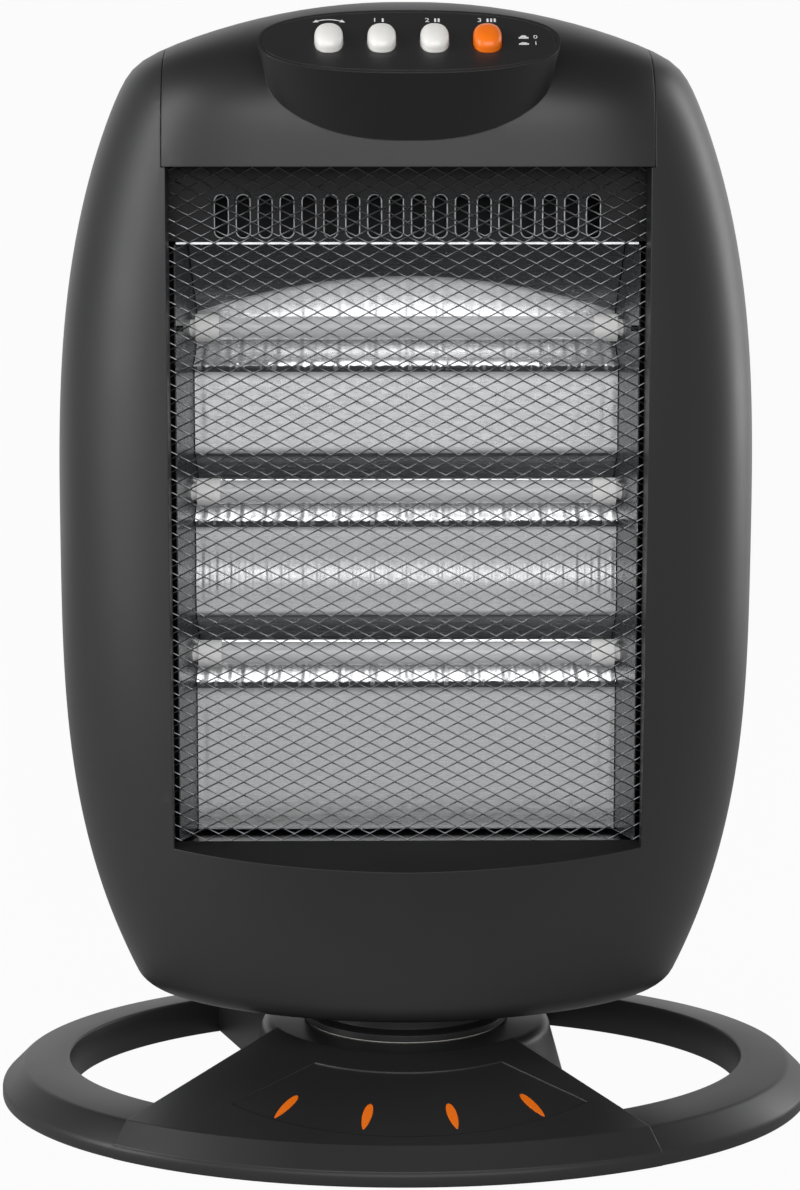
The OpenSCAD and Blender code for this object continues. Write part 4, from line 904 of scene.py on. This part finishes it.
# Sheet and turned steel parts are zinc plated, with the faint bluish grey and the soft
# spangle that plating leaves.
zinc_plate, tree, skin, place = new_material("zinc_plated_steel")
spangle = add_node(tree, "ShaderNodeTexVoronoi", None, {"Vector": place, "Scale": 140.0})
rub = add_node(tree, "ShaderNodeMapRange", None,
               {"Value": spangle.outputs["Distance"], "To Min": 0.3, "To Max": 0.5})
tint = add_node(tree, "ShaderNodeMix", {"data_type": "RGBA"},
                {"Factor": spangle.outputs["Distance"], "A": linear("#aeb3b8"), "B": linear("#c4c8cc")})
feed(tree, skin, {"Base Color": tint.outputs["Result"], "Roughness": rub.outputs["Result"],
                  "Metallic": 1.0})
dress_nodes(zinc_plate, "housing_screws", "neck_screws", "motor_screws", "swing_motor",
            "base_cover_screws", "retaining_nut", "motor_pinion", "tip_spring", "switch_screws")


# Each lamp is a milky quartz tube with a steatite cap pressed on at each end. Inside, a
# coiled resistance wire runs the whole length, held off the glass by small discs.
quartz, tree, skin, place = new_material("milky_quartz")
drawn = add_node(tree, "ShaderNodeMapping", None, {"Vector": place, "Scale": (12, 500, 500)})
line = add_node(tree, "ShaderNodeTexNoise", None, {"Vector": drawn.outputs[0], "Scale": 2.0})
rub = add_node(tree, "ShaderNodeMapRange", None,
               {"Value": line.outputs["Fac"], "To Min": 0.06, "To Max": 0.2})
feed(tree, skin, {"Base Color": linear("#fbfcfd"), "Transmission Weight": 0.5, "IOR": 1.46,
                  "Roughness": rub.outputs["Result"]})
dress_nodes(quartz, "quartz_tube_top", "quartz_tube_middle", "quartz_tube_bottom")

steatite, tree, skin, place = new_material("unglazed_steatite")
speck = add_node(tree, "ShaderNodeTexNoise", None, {"Vector": place, "Scale": 900.0, "Detail": 3.0})
tint = add_node(tree, "ShaderNodeMix", {"data_type": "RGBA"},
                {"Factor": speck.outputs["Fac"], "A": linear("#f6f5f3"), "B": linear("#fcfcfb")})
feed(tree, skin, {"Base Color": tint.outputs["Result"], "Roughness": 0.7})
dress_nodes(steatite, "lamp_caps_top", "lamp_caps_middle", "lamp_caps_bottom", "lamp_holders")

wire, tree, skin, place = new_material("oxidised_resistance_wire")
oxide = add_node(tree, "ShaderNodeTexNoise", None, {"Vector": place, "Scale": 400.0})
tint = add_node(tree, "ShaderNodeMix", {"data_type": "RGBA"},
                {"Factor": oxide.outputs["Fac"], "A": linear("#c2c4c6"), "B": linear("#e0e1e2")})
feed(tree, skin, {"Base Color": tint.outputs["Result"], "Metallic": 1.0, "Roughness": 0.38})

LAMP_Y = -0.0215
WIRE_R, COIL_R, COIL_PITCH, COIL_TURNS = 0.0003, 0.0019, 0.00125, 144
for name, z in LAMP_Z.items():
    deselect()
    bpy.ops.mesh.primitive_circle_add(vertices=6, radius=WIRE_R, location=(0, 0, COIL_R))
    coil = bpy.context.object
    coil.name = "filament_coil_" + name
    bpy.ops.object.transform_apply(location=True)
    upright = Matrix.Rotation(math.radians(90), 4, "X")
    coil.data.transform(Matrix.Translation((0, 0, COIL_R)) @ upright @ Matrix.Translation((0, 0, -COIL_R)))
    modify(coil, "SCREW", axis="X", screw_offset=COIL_PITCH, iterations=COIL_TURNS, steps=12,
           render_steps=12, use_smooth_shade=True)
    bpy.ops.object.mode_set(mode="EDIT")
    bpy.ops.mesh.select_all(action="SELECT")
    bpy.ops.mesh.remove_doubles(threshold=1e-7)
    bpy.ops.mesh.normals_make_consistent(inside=False)
    bpy.ops.object.mode_set(mode="OBJECT")
    coil.data.transform(Matrix.Translation((-COIL_PITCH * COIL_TURNS / 2, LAMP_Y, z)))
    discs = [rod("disc", (x, LAMP_Y, z), (x + 0.0004, LAMP_Y, z), 0.0041, 24)
             for x in [-0.080 + i * 0.020 for i in range(9)]]
    core = rod("core", (-0.0903, LAMP_Y, z), (0.0903, LAMP_Y, z), 0.0005, 12)
    filament = join(coil, core, *discs)
    smooth(filament, 40)
    dress(filament, wire)
    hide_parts("filament_" + name)
    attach(filament, "head")


# The control plate is charcoal ABS and clips into the pod's rim. Four push buttons stand
# in it: three white ones, and an orange one for the power, all with softly domed tops.
dress_nodes(charcoal_abs, "control_plate")
black_abs = moulded_abs("black_abs", "#1d1d1e", 0.36, 0.5, 0.015, 0.4)
dress_nodes(black_abs, "base_cover", "tip_switch", "thermal_cutout")
white_abs = glossy_moulding("white_abs", "#f1f0ec", 0.24, 0.8)

BUTTON_X = {"swing": -0.0356, "heat_one": -0.0122, "heat_two": 0.0112, "power": 0.0346}
CAP_X, CAP_Y, CAP_POWER = 0.0064, 0.0090, 2.35
DOME = ((0.976, 0.00098), (0.926, 0.00092), (0.868, 0.00079), (0.785, 0.0006), (0.63, 0.00038),
        (0.466, 0.00011))
for name, x in BUTTON_X.items():
    button = superoval("cap", CAP_X, CAP_Y, CAP_POWER, -0.0029, 0.0020, 48)
    pick_vertices(button, lambda c: c.z > 0)
    for shrink, rise in DOME:
        bpy.ops.mesh.extrude_region_move(TRANSFORM_OT_translate={"value": (0, 0, rise)})
        bpy.ops.transform.resize(value=(shrink, shrink, 1), center_override=(0, 0, 0))
    bpy.ops.object.mode_set(mode="OBJECT")
    flange = superoval("flange", 0.0076, 0.0102, 2.5, -0.0039, -0.0025, 40)
    stem = rod("stem", (0, 0, -0.020), (0, 0, -0.0032), 0.003, 32)
    button = join(button, flange, stem)
    button.name = "button_cap_" + name
    button.data.transform(Matrix.Translation((x, 0, 0)))
    on_pod(button)
    smooth(button, 40)
    dress(button, orange_abs if name == "power" else white_abs)
    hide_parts("button_" + name)
    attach(button, "button_" + name)

# The marks are pad-printed in white ink: a swing arc over the first button, the numbers
# 1 to 3 with as many bars over the other three, and a raised and a pressed button with
# 0 and 1 at the right.
plate = nodes["control_plate"]
face_normal = POD_TURN @ Vector((0, 0, 1))
PLATE_RISE = max(face_normal.dot(v.co - POD_FACE) for v in plate.data.vertices)
INK = 0.00006
marks = []


def printed(x, y, turn=0.0):
    """Thickens the active flat piece to a film of ink and lays it on the control plate."""
    mark = bpy.context.object
    modify(mark, "SOLIDIFY", thickness=INK, offset=1.0)
    mark.data.transform(Matrix.Translation((x, y, PLATE_RISE + 0.00002)) @ Matrix.Rotation(turn, 4, "Z"))
    marks.append(on_pod(mark))


def numeral(text, x, y, height):
    """Plain number with its middle at a point of the plate."""
    deselect()
    bpy.ops.object.text_add(location=(0, 0, 0))
    mark = bpy.context.object
    mark.data.body, mark.data.size = text, height / 0.7
    mark.data.align_x, mark.data.align_y, mark.data.resolution_u = "CENTER", "CENTER", 4
    bpy.ops.object.convert(target="MESH")
    printed(x, y)


def bar(x, y, width, height, top_share=1.0, turn=0.0):
    """Upright bar, or a trapezium where the top is narrower."""
    deselect()
    bpy.ops.mesh.primitive_plane_add(size=1, location=(0, 0, 0))
    for v in bpy.context.object.data.vertices:
        v.co.x *= width * (top_share if v.co.y > 0 else 1.0)
        v.co.y *= height
    printed(x, y, turn)


LABEL_Y = 0.0166
for count, name in enumerate(("heat_one", "heat_two", "power"), 1):
    numeral(str(count), BUTTON_X[name] - 0.0030, LABEL_Y, 0.0031)
    for k in range(count):
        bar(BUTTON_X[name] + 0.0006 + 0.0016 * k, LABEL_Y, 0.0009, 0.0028)
ARC_R, ARC_LOW, ARC_CUT, ARC_INNER = 0.0125, 0.0118, 0.0110, 0.955
deselect()
bpy.ops.mesh.primitive_circle_add(vertices=72, radius=ARC_R, fill_type="NOTHING", location=(0, 0, 0))
arc = bpy.context.object
pick_vertices(arc, lambda c: c.y < ARC_CUT)
bpy.ops.mesh.delete(type="VERT")
bpy.ops.mesh.select_all(action="SELECT")
bpy.ops.mesh.extrude_edges_move()
bpy.ops.transform.resize(value=(ARC_INNER, ARC_INNER, 1), center_override=(0, 0, 0))
bpy.ops.object.mode_set(mode="OBJECT")
printed(BUTTON_X["swing"], LABEL_Y - ARC_LOW)
for side in (-1, 1):
    bar(BUTTON_X["swing"] + side * 0.0062, LABEL_Y - 0.0012, 0.0022, 0.0024, 0.0, side * math.radians(-120))
SIGN_X, SIGN_NUMBER_X = 0.0507, 0.0560
for text, number_y, foot_y, cap_y, cap_height in (("0", 0.0031, 0.0024, 0.0037, 0.0013),
                                                  ("1", -0.0020, -0.0025, -0.0015, 0.0007)):
    bar(SIGN_X, foot_y, 0.0044, 0.0011)
    bar(SIGN_X, cap_y, 0.0032, cap_height, 0.6)
    numeral(text, SIGN_NUMBER_X, number_y, 0.0028)
printed_marks = join(*marks)
printed_marks.name = "printed_marks"
outward(printed_marks)
white_ink = glossy_moulding("white_pad_print", "#e9e9e8", 0.5, 0.02)
dress(printed_marks, white_ink)
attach(printed_marks, "head")

# Acetal and nylon parts keep their natural, slightly waxy off-white; rubber parts are
# black and matt, and the neck collar is the same charcoal ABS as the head.
acetal = glossy_moulding("natural_acetal", "#e9e6dc", 0.45, 0.4)
dress_nodes(acetal, "toothed_sector", "slip_washer", "tip_plunger", "terminal_block", "switch_block")
dress_nodes(charcoal_abs, "neck_collar")
rubber = moulded_abs("black_rubber", "#151515", 0.62, 0.8, 0.03, 0.4)
dress_nodes(rubber, "rubber_feet", "cord_gland", "base_wiring", "head_wiring")
